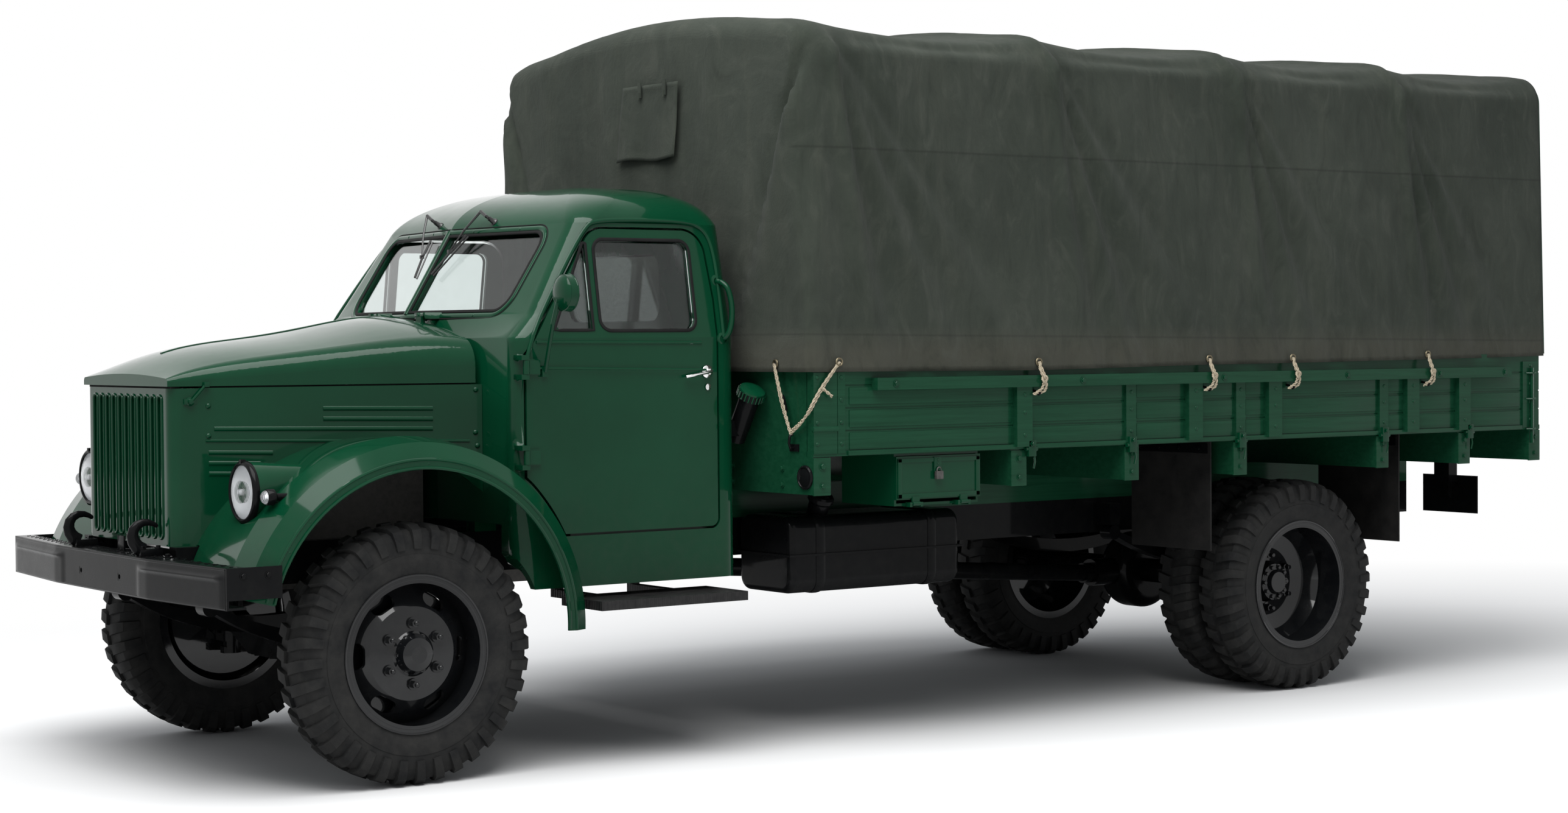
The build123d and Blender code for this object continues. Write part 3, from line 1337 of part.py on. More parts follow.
# Tool box under the bed on the left, with a drop-down front
box_front_y = front_axle_y + 1940.0
box_length = 420.0
box_outer_x = 1128.0
box_depth = 330.0
box_low_z = 905.0
box_height = floor_bottom_z - box_low_z
box_wall = 10.0
lid_thickness = 14.0
lid_foot = 24.0
lid_height = box_height - lid_foot - 12.0
box_face_x = box_outer_x - lid_thickness - 1.0
lid_hinge_x = box_outer_x + 8.0
lid_hinge_z = box_low_z + 8.0
with BuildPart() as toolbox:
    box_mid_y = box_front_y + box_length / 2
    box_mid_z = box_low_z + box_height / 2
    with Locations((box_face_x - box_depth / 2, box_mid_y, box_mid_z)):
        Box(box_depth, box_length, box_height)
    with Locations((box_face_x - box_depth / 2 + box_wall, box_mid_y, box_mid_z)):
        Box(box_depth, box_length - 2 * box_wall, box_height - 2 * box_wall, mode=Mode.SUBTRACT)
    for station in (box_front_y + 90.0, box_front_y + box_length - 90.0):
        for end in (1, -1):
            with Locations((lid_hinge_x - 16.0, station + end * 26.0, lid_hinge_z - 3.0)):
                Box(38.0, 12.0, 18.0)
        with Locations((lid_hinge_x, station, lid_hinge_z)):
            Cylinder(4.0, 62.0, rotation=(90, 0, 0))
toolbox.part.label = "toolbox"
export_step(toolbox.part, "parts/toolbox.step")

with BuildPart() as toolbox_lid:
    with Locations((box_outer_x - lid_thickness / 2, box_mid_y, box_low_z + lid_foot + lid_height / 2)):
        Box(lid_thickness, box_length, lid_height)
    for station in (box_front_y + 90.0, box_front_y + box_length - 90.0):
        with Locations((lid_hinge_x, station, lid_hinge_z)):
            Cylinder(8.0, 36.0, rotation=(90, 0, 0))
        with Locations((lid_hinge_x - 4.0, station, lid_hinge_z + 14.0)):
            Box(8.0, 36.0, 28.0)
        with Locations((lid_hinge_x, station, lid_hinge_z)):
            Cylinder(4.0 + hub_fit, 62.0, rotation=(90, 0, 0), mode=Mode.SUBTRACT)
toolbox_lid.part.label = "toolbox_lid"
export_step(toolbox_lid.part, "parts/toolbox_lid.step")

# Mud flaps ahead of and behind the rear wheels, hung from the bed
flap_thickness = 8.0
with BuildPart() as mud_flaps:
    for sign in (1, -1):
        for station, low in ((3690.0, 640.0), (4880.0, 620.0)):
            with Locations((sign * 830.0, front_axle_y + station, (low + floor_bottom_z) / 2)):
                Box(480.0, flap_thickness, floor_bottom_z - low)
mud_flaps.part.label = "mud_flaps"
export_step(mud_flaps.part, "parts/mud_flaps.step")

# Tail lamps and the blank plate bracket under the rear bearer
with BuildPart() as tail_lamps:
    for sign in (1, -1):
        with Locations((sign * 640.0, bed_rear_y - 60.0, bearer_bottom_z - 60.0)):
            Box(90.0, 60.0, 120.0)
    with Locations((640.0, bed_rear_y - 26.0, bearer_bottom_z - 180.0)):
        Box(330.0, 6.0, 180.0)
    with Locations((640.0, bed_rear_y - 40.0, bearer_bottom_z - 100.0)):
        Box(30.0, 34.0, 200.0)
tail_lamps.part.label = "tail_lamps"
export_step(tail_lamps.part, "parts/tail_lamps.step")

# Exhaust: silencer on the right with its tail pipe
with BuildPart() as exhaust:
    with Locations((-560.0, front_axle_y + 1900.0, 640.0)):
        Cylinder(75.0, 620.0, rotation=(90, 0, 0))
    with Locations((-560.0, front_axle_y + 2500.0, 640.0)):
        Cylinder(24.0, 700.0, rotation=(90, 0, 0))
    for station in (1700.0, 2100.0):
        with Locations((-(rail_outer_x + 560.0) / 2, front_axle_y + station, 735.0)):
            Box(560.0 - rail_outer_x, 30.0, 60.0)
exhaust.part.label = "exhaust"
export_step(exhaust.part, "parts/exhaust.step")
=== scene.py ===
"""Looks of the covered cargo truck: materials, canvas, ropes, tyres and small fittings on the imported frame."""

import json
from math import atan2, cos, exp, pi, radians, sin

import bmesh
import bpy
from mathutils import Matrix, Vector, noise


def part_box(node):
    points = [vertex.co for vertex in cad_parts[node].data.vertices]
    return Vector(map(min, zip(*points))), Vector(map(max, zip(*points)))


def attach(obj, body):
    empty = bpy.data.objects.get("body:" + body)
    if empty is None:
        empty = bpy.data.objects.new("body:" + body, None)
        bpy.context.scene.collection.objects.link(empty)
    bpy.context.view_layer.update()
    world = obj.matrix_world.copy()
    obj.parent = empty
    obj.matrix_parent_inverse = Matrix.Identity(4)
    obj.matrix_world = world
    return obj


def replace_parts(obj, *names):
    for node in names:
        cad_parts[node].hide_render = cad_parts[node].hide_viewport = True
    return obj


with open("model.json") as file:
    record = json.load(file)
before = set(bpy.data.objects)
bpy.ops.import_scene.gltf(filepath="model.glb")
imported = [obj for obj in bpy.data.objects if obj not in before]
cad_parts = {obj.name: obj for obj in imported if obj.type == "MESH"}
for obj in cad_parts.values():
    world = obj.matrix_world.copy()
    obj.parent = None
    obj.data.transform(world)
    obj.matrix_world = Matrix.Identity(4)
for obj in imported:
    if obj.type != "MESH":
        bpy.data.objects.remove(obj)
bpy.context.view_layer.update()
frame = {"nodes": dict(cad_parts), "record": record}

# Sizes repeated from the part's source, in metres
FRONT_AXLE_Y = -2.505
REAR_AXLE_Y = 1.775
AXLE_Z = 0.460
FRONT_END_Y = -3.305
CAB_FRONT_Y = FRONT_AXLE_Y + 0.415
CAB_REAR_Y = CAB_FRONT_Y + 0.995
CAB_HALF = 0.837
ARCH_Y = FRONT_AXLE_Y - 0.010
ARCH_Z = 0.530
ARCH_RADIUS = 0.580
FENDER_X = 0.962
LAMP = Vector((0.690, FRONT_AXLE_Y - 0.545, 1.040))
SIDE_LAMP = Vector((0.836, LAMP.y + 0.010, 1.028))
BED_HALF = 1.142
BOARD_BOTTOM = 1.118
BED_FRONT_Y = FRONT_AXLE_Y + 1.530
BED_REAR_Y = 3.267
RAIL_X = 1.181
COVER_FRONT_Y = BED_FRONT_Y - 0.019
COVER_REAR_Y = 3.293
FRONT_WHEEL_X = 0.794
REAR_OUTER_X = 0.942
REAR_INNER_X = 0.692
REAR_HUB_X = 0.817
SIDES = (("left", 1), ("right", -1))
# Stitching in the canvas: across the side, and along the top of the hem, which falls towards the rear
SEAM_Z = 2.270
HEM_SEAM_Z = 1.557
HEM_SEAM_FALL = 0.0110


def at(y):
    """Y in metres of a station that is measured back from the front axle in millimetres."""
    return FRONT_AXLE_Y + y / 1000.0


# Material building


class Shader:
    """One Principled material with short helpers for its procedural nodes."""

    def __init__(self, name, **values):
        self.material = bpy.data.materials.new(name)
        self.material.use_nodes = True
        self.tree = self.material.node_tree
        self.main = self.tree.nodes["Principled BSDF"]
        self.coordinates = self.node("ShaderNodeTexCoord").outputs["Object"]
        for socket, value in values.items():
            self.main.inputs[socket.replace("_", " ")].default_value = value

    def node(self, kind, **fields):
        made = self.tree.nodes.new(kind)
        for field, value in fields.items():
            setattr(made, field, value)
        return made

    def link(self, source, target):
        self.tree.links.new(source, target)

    def stretched(self, scale):
        mapping = self.node("ShaderNodeMapping")
        mapping.inputs["Scale"].default_value = scale
        self.link(self.coordinates, mapping.inputs["Vector"])
        return mapping.outputs["Vector"]

    def noise(self, scale, detail=4.0, roughness=0.55, vector=None, distortion=0.0):
        made = self.node("ShaderNodeTexNoise")
        made.inputs["Scale"].default_value = scale
        made.inputs["Detail"].default_value = detail
        made.inputs["Roughness"].default_value = roughness
        made.inputs["Distortion"].default_value = distortion
        self.link(vector or self.coordinates, made.inputs["Vector"])
        return made.outputs["Fac"]

    def wave(self, scale, distortion=0.0, direction="X", vector=None):
        made = self.node("ShaderNodeTexWave", bands_direction=direction)
        made.inputs["Scale"].default_value = scale
        made.inputs["Distortion"].default_value = distortion
        self.link(vector or self.coordinates, made.inputs["Vector"])
        return made.outputs["Fac"]

    def ramp(self, factor, stops):
        made = self.node("ShaderNodeValToRGB")
        for index, (place, colour) in enumerate(stops):
            if index < 2:
                stop = made.color_ramp.elements[index]
                stop.position = place
            else:
                stop = made.color_ramp.elements.new(place)
            stop.color = (*colour, 1.0)
        self.link(factor, made.inputs["Fac"])
        return made.outputs["Color"]

    def levels(self, factor, low, high, low_value=0.0, high_value=1.0):
        made = self.node("ShaderNodeMapRange")
        for socket, value in zip((1, 2, 3, 4), (low, high, low_value, high_value)):
            made.inputs[socket].default_value = value
        self.link(factor, made.inputs["Value"])
        return made.outputs["Result"]

    def height(self, low, high):
        """0 at the low height and 1 at the high one."""
        split = self.node("ShaderNodeSeparateXYZ")
        self.link(self.coordinates, split.inputs["Vector"])
        return self.levels(split.outputs["Z"], low, high)

    def math(self, operation, first, second):
        made = self.node("ShaderNodeMath", operation=operation)
        for socket, value in zip(made.inputs, (first, second)):
            if isinstance(value, float):
                socket.default_value = value
            else:
                self.link(value, socket)
        return made.outputs["Value"]

    def mix(self, factor, first, second):
        made = self.node("ShaderNodeMix", data_type="RGBA")
        for socket, value in zip((made.inputs[0], made.inputs[6], made.inputs[7]), (factor, first, second)):
            if isinstance(value, tuple):
                socket.default_value = (*value, 1.0)
            elif isinstance(value, float):
                socket.default_value = value
            else:
                self.link(value, socket)
        return made.outputs[2]

    def colour(self, source):
        self.link(source, self.main.inputs["Base Color"])

    def rough(self, source):
        self.link(source, self.main.inputs["Roughness"])

    def bump(self, source, strength, distance):
        made = self.node("ShaderNodeBump")
        made.inputs["Strength"].default_value = strength
        made.inputs["Distance"].default_value = distance
        self.link(source, made.inputs["Height"])
        self.link(made.outputs["Normal"], self.main.inputs["Normal"])


def make_paint(name, deep, light, dust, gloss, coat, index=1.24):
    """Brushed-on vehicle paint: slow colour drift, orange peel, and dust that gathers low down."""
    shader = Shader(name, Coat_Weight=coat, Coat_Roughness=0.05, Coat_IOR=index, Specular_IOR_Level=0.03)
    drift = shader.noise(1.7, 5.0)
    base = shader.ramp(drift, ((0.30, deep), (0.72, light)))
    low = shader.height(1.15, 0.45)
    speckle = shader.levels(shader.noise(24.0, 6.0, 0.7), 0.45, 0.75)
    shader.colour(shader.mix(shader.math("MULTIPLY", low, shader.math("MULTIPLY", speckle, 0.30)), base, dust))
    shader.rough(shader.levels(shader.noise(9.0, 6.0, 0.65), 0.25, 0.8, gloss, gloss + 0.16))
    shader.bump(shader.noise(95.0, 2.0), 0.05, 0.0015)
    return shader.material


def make_board_paint():
    """Paint over planed planks: faint grain along the truck and worn, duller edges."""
    shader = Shader("painted_boards", Coat_Weight=0.6, Coat_Roughness=0.14, Coat_IOR=1.24, Specular_IOR_Level=0.04)
    grain = shader.noise(7.0, 8.0, 0.7, shader.stretched((6.0, 0.35, 9.0)), 0.4)
    base = shader.ramp(grain, ((0.28, (0.0026, 0.0300, 0.0132)), (0.75, (0.0075, 0.0500, 0.0240))))
    worn = shader.levels(shader.noise(15.0, 7.0, 0.75), 0.62, 0.82)
    shader.colour(shader.mix(shader.math("MULTIPLY", worn, 0.35), base, (0.026, 0.062, 0.040)))
    shader.rough(shader.levels(grain, 0.2, 0.8, 0.30, 0.52))
    shader.bump(grain, 0.16, 0.003)
    return shader.material


def make_canvas():
    """Proofed duck: weave, faded patches, creases with painted light and shade along the wrinkles, and a browner band
    towards the hem.
    """
    shader = Shader("canvas", Sheen_Weight=0.04, Sheen_Roughness=0.6, Specular_IOR_Level=0.10)
    patches = shader.noise(1.5, 7.0, 0.62)
    base = shader.ramp(patches, ((0.28, (0.020, 0.026, 0.0195)), (0.74, (0.040, 0.047, 0.037))))
    streaks = shader.noise(5.0, 6.0, 0.7, shader.stretched((2.2, 2.2, 0.35)))
    base = shader.mix(shader.levels(streaks, 0.50, 0.80, 0.0, 0.45), base, (0.052, 0.056, 0.043))
    hem = shader.height(1.60, 1.50)
    base = shader.mix(shader.math("MULTIPLY", hem, 0.45), base, (0.058, 0.053, 0.040))
    wrinkle_relief_and_shade = shader.noise(3.4, 7.0, 0.66, shader.stretched((1.0, 2.6, 1.1)), 1.6)
    # Painted fold light and shade: lighter on the raised side of each wrinkle, darker in its hollow
    base = shader.mix(shader.levels(wrinkle_relief_and_shade, 0.52, 0.70, 0.0, 0.40), base, (0.060, 0.065, 0.053))
    base = shader.mix(shader.levels(wrinkle_relief_and_shade, 0.48, 0.30, 0.0, 0.45), base, (0.015, 0.019, 0.014))
    # Stitched seams
    split = shader.node("ShaderNodeSeparateXYZ")
    shader.link(shader.coordinates, split.inputs["Vector"])
    level = shader.math("ADD", split.outputs["Z"], shader.math("MULTIPLY", split.outputs["Y"], HEM_SEAM_FALL))
    sides = shader.levels(shader.math("ABSOLUTE", split.outputs["X"], 0.0), 1.07, 1.09, 0.0, 0.55)
    for line, weight in (
        (shader.math("SUBTRACT", split.outputs["Z"], SEAM_Z), sides),
        (shader.math("SUBTRACT", level, HEM_SEAM_Z), 0.40),
    ):
        stitch = shader.levels(shader.math("ABSOLUTE", line, 0.0), 0.0, 0.007, 1.0, 0.0)
        base = shader.mix(shader.math("MULTIPLY", stitch, weight), base, (0.012, 0.014, 0.011))
    shader.colour(base)
    shader.rough(shader.levels(patches, 0.2, 0.8, 0.78, 0.94))
    weave = shader.math("ADD", shader.wave(190.0, 0.6, "Y"), shader.wave(190.0, 0.6, "Z"))
    crease = shader.noise(16.0, 8.0, 0.70, None, 0.8)
    relief = shader.math("ADD", shader.math("MULTIPLY", weave, 0.08), shader.math("ADD", crease, wrinkle_relief_and_shade))
    shader.bump(relief, 0.55, 0.009)
    return shader.material


def make_rubber(name, dark, dusty, strength):
    shader = Shader(name, Specular_IOR_Level=0.10)
    grime = shader.noise(11.0, 8.0, 0.7)
    shader.colour(shader.ramp(grime, ((0.35, dark), (0.78, dusty))))
    shader.rough(shader.levels(grime, 0.3, 0.8, 0.58, 0.86))
    shader.bump(shader.noise(160.0, 5.0, 0.7), strength, 0.002)
    return shader.material


def make_tread_plate():
    """Black painted plate with a raised diagonal tread."""
    shader = Shader("tread_plate", Coat_Weight=0.10, Coat_Roughness=0.25, Specular_IOR_Level=0.2)
    turn = shader.node("ShaderNodeMapping")
    turn.inputs["Rotation"].default_value = (0.0, 0.0, radians(45.0))
    shader.link(shader.coordinates, turn.inputs["Vector"])
    first = shader.wave(26.0, 0.0, "X", turn.outputs["Vector"])
    second = shader.wave(26.0, 0.0, "Y", turn.outputs["Vector"])
    pattern = shader.levels(shader.math("MULTIPLY", first, second), 0.25, 0.6)
    wear = shader.noise(30.0, 6.0, 0.7)
    shader.colour(shader.ramp(wear, ((0.35, (0.004, 0.004, 0.0045)), (0.8, (0.020, 0.0195, 0.0185)))))
    shader.rough(shader.levels(wear, 0.3, 0.8, 0.30, 0.55))
    shader.bump(pattern, 0.75, 0.006)
    return shader.material


def make_metal(name, low, high, rough_low, rough_high, metallic=1.0):
    shader = Shader(name, Metallic=metallic)
    marks = shader.noise(40.0, 6.0, 0.7)
    shader.colour(shader.ramp(marks, ((0.3, low), (0.75, high))))
    shader.rough(shader.levels(marks, 0.3, 0.8, rough_low, rough_high))
    shader.bump(shader.noise(300.0, 2.0), 0.05, 0.0006)
    return shader.material


def make_glass(name, tint, roughness, index, flutes=0.0):
    shader = Shader(name, Transmission_Weight=1.0, IOR=index, Roughness=roughness)
    film = shader.noise(6.0, 6.0, 0.7)
    shader.colour(shader.ramp(film, ((0.3, tint), (0.8, tuple(min(1.0, c * 1.06) for c in tint)))))
    if flutes:
        shader.bump(shader.wave(flutes, 0.0, "X"), 0.35, 0.003)
    return shader.material


def make_rope():
    """Pale hemp with twisted strands."""
    shader = Shader("rope", Specular_IOR_Level=0.2)
    turn = shader.node("ShaderNodeMapping")
    turn.inputs["Rotation"].default_value = (radians(30.0), radians(35.0), 0.0)
    shader.link(shader.coordinates, turn.inputs["Vector"])
    twist_relief_and_shade = shader.wave(120.0, 1.2, "DIAGONAL", turn.outputs["Vector"])
    fibres = shader.noise(420.0, 4.0, 0.7)
    # Colour follows the twist relief: painted shade in the grooves between strands, over a random fibre tone
    shader.colour(
        shader.ramp(shader.math("MULTIPLY", twist_relief_and_shade, fibres), ((0.08, (0.24, 0.19, 0.12)), (0.45, (0.62, 0.55, 0.42))))
    )
    shader.rough(shader.levels(fibres, 0.2, 0.8, 0.75, 0.95))
    shader.bump(twist_relief_and_shade, 0.7, 0.002)
    return shader.material


def make_leather():
    shader = Shader("seat_cloth", Specular_IOR_Level=0.35)
    grain = shader.noise(220.0, 6.0, 0.7)
    patches = shader.noise(5.0, 6.0, 0.65)
    shader.colour(shader.ramp(patches, ((0.3, (0.022, 0.017, 0.013)), (0.75, (0.048, 0.038, 0.029)))))
    shader.rough(shader.levels(patches, 0.3, 0.8, 0.46, 0.68))
    shader.bump(grain, 0.22, 0.001)
    return shader.material


GREEN = make_paint("green_paint", (0.0006, 0.0270, 0.0108), (0.0016, 0.0385, 0.0160), (0.026, 0.038, 0.027), 0.14, 1.0)
BLACK = make_paint("black_paint", (0.0022, 0.0024, 0.0027), (0.0046, 0.0049, 0.0053), (0.018, 0.017, 0.015), 0.22, 0.35)
WHEEL = make_paint(
    "wheel_paint", (0.0030, 0.0034, 0.0040), (0.0055, 0.0060, 0.0068), (0.018, 0.018, 0.017), 0.20, 1.0, 1.38
)
BOARDS = make_board_paint()
CANVAS = make_canvas()
TYRE = make_rubber("tyre_rubber", (0.0088, 0.0092, 0.0096), (0.028, 0.0275, 0.0260), 0.35)
FLAP = make_rubber("flap_rubber", (0.008, 0.008, 0.008), (0.020, 0.019, 0.018), 0.20)
SEAL = make_rubber("window_seal", (0.006, 0.006, 0.006), (0.013, 0.013, 0.013), 0.10)
TREAD = make_tread_plate()
CHROME = make_metal("chrome", (0.62, 0.62, 0.62), (0.80, 0.80, 0.79), 0.07, 0.20)
REFLECTOR = make_metal("lamp_reflector", (0.72, 0.74, 0.77), (0.88, 0.89, 0.91), 0.16, 0.30, 0.35)
BRASS = make_metal("eyelet_brass", (0.10, 0.085, 0.055), (0.22, 0.19, 0.13), 0.35, 0.60)
IRON = make_metal("engine_iron", (0.045, 0.044, 0.042), (0.110, 0.105, 0.098), 0.48, 0.78, 0.6)
RADIATOR = make_metal("radiator_metal", (0.006, 0.006, 0.006), (0.018, 0.017, 0.016), 0.5, 0.75, 0.3)
GLASS = make_glass("window_glass", (0.80, 0.85, 0.84), 0.012, 1.34)
LENS = make_glass("lamp_lens", (0.96, 0.97, 0.98), 0.05, 1.45, 60.0)
RED_LENS = make_glass("tail_lens", (0.55, 0.012, 0.008), 0.08, 1.45, 70.0)
PLASTIC = make_metal("dark_plastic", (0.010, 0.010, 0.010), (0.018, 0.018, 0.018), 0.22, 0.36, 0.0)
ROPE = make_rope()
SEAT = make_leather()

SLOT_LOOKS = {
    "green_paint": GREEN,
    "black_paint": BLACK,
    "green_wood": BOARDS,
    "tyre_rubber": TYRE,
    "engine_iron": IRON,
    "radiator_metal": RADIATOR,
    "window_glass": GLASS,
    "lamp_lens": LENS,
    "tail_lens": BLACK,
    "seat_cloth": SEAT,
    "dark_plastic": PLASTIC,
    "canvas": CANVAS,
    "flap_rubber": FLAP,
}
NODE_LOOKS = {"running_boards": TREAD, "fuel_filler": BLACK}
NODE_LOOKS.update({f"wheel_{end}_{side}": WHEEL for end in ("front", "rear") for side in ("left", "right")})

for entry in frame["record"]["subparts"]:
    mesh = frame["nodes"][entry["node"]].data
    mesh.materials.clear()
    mesh.materials.append(NODE_LOOKS.get(entry["node"], SLOT_LOOKS[entry["material_slot"]]))


# Mesh building


def make_object(name, mesh, look):
    """Linked, smooth-shaded object from a mesh under construction, which is used up."""
    data = bpy.data.meshes.new(name)
    mesh.to_mesh(data)
    mesh.free()
    data.materials.append(look)
    for face in data.polygons:
        face.use_smooth = True
    piece = bpy.data.objects.new(name, data)
    bpy.context.collection.objects.link(piece)
    return piece


def add_quads(mesh, grid):
    """Faces between the lines of a grid of vertices."""
    for first, second in zip(grid, grid[1:]):
        for k in range(len(first) - 1):
            mesh.faces.new((first[k], second[k], second[k + 1], first[k + 1]))


class Shape:
    """Collects small shapes into one mesh that rides on one body."""

    def __init__(self):
        self.mesh = bmesh.new()

    def box(self, low, high, bevel=0.002, turn=None, about=None):
        size = Vector(high) - Vector(low)
        middle = (Vector(high) + Vector(low)) / 2
        made = bmesh.ops.create_cube(self.mesh, size=1.0)["verts"]
        bmesh.ops.scale(self.mesh, vec=size, verts=made)
        bmesh.ops.translate(self.mesh, vec=middle, verts=made)
        if turn is not None:
            bmesh.ops.rotate(self.mesh, cent=about or middle, matrix=turn, verts=made)
        if bevel:
            edges = list(dict.fromkeys(edge for vertex in made for edge in vertex.link_edges))
            bmesh.ops.bevel(self.mesh, geom=edges, offset=bevel, segments=2, affect="EDGES", profile=0.7)

    def lathe(self, origin, axis, profile, steps=28):
        """Turns (distance along axis, radius) points about an axis."""
        axis = Vector(axis).normalized()
        side = axis.orthogonal().normalized()
        other = axis.cross(side)
        turns = [2 * pi * k / steps for k in range(steps)]
        around = [side * cos(turn) + other * sin(turn) for turn in turns]
        rings = []
        for along, radius in profile:
            centre = Vector(origin) + axis * along
            if radius < 1e-6:
                rings.append([self.mesh.verts.new(centre)])
            else:
                rings.append([self.mesh.verts.new(centre + out * radius) for out in around])
        for first, second in zip(rings, rings[1:]):
            self.band(first, second)

    def band(self, first, second):
        count = max(len(first), len(second))
        for k in range(count):
            n = (k + 1) % count
            corners = []
            sides = (first[k % len(first)], first[n % len(first)], second[n % len(second)], second[k % len(second)])
            for vertex in sides:
                if vertex not in corners:
                    corners.append(vertex)
            if len(corners) > 2:
                self.mesh.faces.new(corners)

    def tube(self, points, radius, sides=10, closed=False, flat=1.0, up=None):
        """Sweeps a round or flattened section along points. up is the way that the thin side faces."""
        points = [Vector(p) for p in points]
        count = len(points)
        sizes = radius if isinstance(radius, (list, tuple)) else [radius] * count
        rings = []
        last = None
        for k, point in enumerate(points):
            before = points[k - 1] if (k or closed) else point
            after = points[(k + 1) % count] if (k + 1 < count or closed) else point
            along = (after - before).normalized()
            guide = Vector(up) if up is not None else (last or along.orthogonal())
            side = (guide - along * guide.dot(along)).normalized()
            other = along.cross(side)
            last = side
            ring = []
            for s in range(sides):
                turn = 2 * pi * s / sides
                wide, thick = cos(turn) * sizes[k] * flat, sin(turn) * sizes[k]
                ring.append(self.mesh.verts.new(point + side * wide + other * thick))
            rings.append(ring)
        pairs = list(zip(rings, rings[1:]))
        if closed:
            pairs.append((rings[-1], rings[0]))
        for first, second in pairs:
            self.band(first, second)
        if not closed:
            self.mesh.faces.new(list(reversed(rings[0])))
            self.mesh.faces.new(rings[-1])

    def bolt(self, origin, axis, across=0.018, height=0.008):
        """Hexagon head on a washer, with a little domed end."""
        self.lathe(origin, axis, ((0.0, across * 0.85), (0.0025, across * 0.85), (0.0025, across * 0.2)), 16)
        half, top = across * 0.56, height + 0.0015
        self.lathe(origin, axis, ((0.0025, half), (height, half), (top, across * 0.46), (top, 0.0)), 6)

    def rivet(self, origin, axis, radius=0.008):
        profile = [(0.0, radius)]
        profile += [(radius * 0.6 * sin(radians(a)), radius * cos(radians(a))) for a in (25, 50, 70)]
        profile.append((radius * 0.62, 0.0))
        self.lathe(origin, axis, profile, 14)

    def finish(self, name, body, slot, look, angle=35.0):
        bmesh.ops.recalc_face_normals(self.mesh, faces=self.mesh.faces)
        piece = make_object(name, self.mesh, look)
        piece.data.set_sharp_from_angle(angle=radians(angle))
        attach(piece, body)
        return piece


def circle(radius, count, start=0.0):
    """Points evenly round a circle about (0, 0), from an angle in degrees."""
    turns = [radians(360.0 * k / count + start) for k in range(count)]
    return [(radius * cos(turn), radius * sin(turn)) for turn in turns]


def sided(sign, low, high):
    """The lower and the higher x of a range on one side of the truck."""
    return sorted((sign * low, sign * high))


def rounded(low_u, low_v, high_u, high_v, radius, steps=8):
    """Closed outline of a rectangle with round corners in the plane (u, v)."""
    points = []
    corners = (
        (high_u - radius, high_v - radius, 0),
        (low_u + radius, high_v - radius, 90),
        (low_u + radius, low_v + radius, 180),
        (high_u - radius, low_v + radius, 270),
    )
    for u, v, start in corners:
        for k in range(steps + 1):
            angle = radians(start + 90.0 * k / steps)
            points.append((u + radius * cos(angle), v + radius * sin(angle)))
    return points


# Tyres: a moulded carcass with staggered blocks that run down both shoulders

HALF_TYRE = 0.1075
BEAD_RADIUS = 0.2593
LUG_COUNT = 36
# Half of the carcass section. Columns: offset across, radius
CARCASS = (
    (0.080, BEAD_RADIUS), (0.087, 0.270), (0.088, 0.286), (0.0935, 0.302), (0.0985, 0.322), (0.1005, 0.345),
    (0.1010, 0.352), (0.0990, 0.353), (0.0995, 0.368), (0.0975, 0.390), (0.0930, 0.412), (0.0860, 0.430),
    (0.0740, 0.440), (0.0400, 0.4445), (0.0, 0.446),
)
# Blocks run from the middle of the tread to low on the shoulder. Columns: offset across, carcass radius, rise
LUG_PATH = (
    (0.012, 0.4450, 0.0145),
    (0.040, 0.4440, 0.0150),
    (0.072, 0.4390, 0.0165),
    (0.0865, 0.4280, 0.0155),
    (0.0935, 0.4100, 0.0120),
    (0.0975, 0.3880, 0.0085),
    (0.0992, 0.3700, 0.0060),
)


def add_tyre(shape, centre):
    rings = CARCASS + tuple((-x, r) for x, r in reversed(CARCASS[:-1]))
    shape.lathe(centre, (1, 0, 0), rings, 96)
    inner = ((0.080, BEAD_RADIUS), (0.060, BEAD_RADIUS + 0.012), (-0.060, BEAD_RADIUS + 0.012), (-0.080, BEAD_RADIUS))
    shape.lathe(centre, (1, 0, 0), inner, 96)
    pitch = 2 * pi / LUG_COUNT
    for side in (1, -1):
        for k in range(LUG_COUNT):
            turn = (k + (0.5 if side < 0 else 0.0)) * pitch
            rings = []
            for row, (across, radius, rise) in enumerate(LUG_PATH):
                ahead = LUG_PATH[min(row + 1, len(LUG_PATH) - 1)]
                behind = LUG_PATH[max(row - 1, 0)]
                slope = Vector((ahead[0] - behind[0], ahead[1] - behind[1])).normalized()
                normal = Vector((-slope.y, slope.x))
                half = pitch * (0.30 if row < 3 else 0.27)
                skew = pitch * 0.34 * (1.0 - across / HALF_TYRE)
                corners = []
                for depth, spread in ((-0.004, 1.0), (rise, 0.84)):
                    place = (across + normal.x * depth, radius + normal.y * depth)
                    for edge in (-1, 1):
                        angle = turn + skew + edge * half * spread
                        x, y = centre[0] + side * place[0], centre[1] + place[1] * cos(angle)
                        corners.append(shape.mesh.verts.new((x, y, centre[2] + place[1] * sin(angle))))
                rings.append([corners[0], corners[1], corners[3], corners[2]])
            for first, second in zip(rings, rings[1:]):
                shape.band(first, second)
            shape.mesh.faces.new(rings[0])
            shape.mesh.faces.new(list(reversed(rings[-1])))


# Columns: axle, CAD node's first word, wheel planes, axle station
TYRE_ROWS = (
    ("front", "tyre", (FRONT_WHEEL_X,), FRONT_AXLE_Y),
    ("rear", "tyres", (REAR_OUTER_X, REAR_INNER_X), REAR_AXLE_Y),
)
for end, word, planes, station in TYRE_ROWS:
    for side, sign in SIDES:
        shape = Shape()
        for plane in planes:
            add_tyre(shape, (sign * plane, station, AXLE_Z))
        tyre = shape.finish(f"tyre_mesh_{end}_{side}", f"wheel_{end}_{side}", "tyre_rubber", TYRE, 32.0)
        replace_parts(tyre, f"{word}_{end}_{side}")


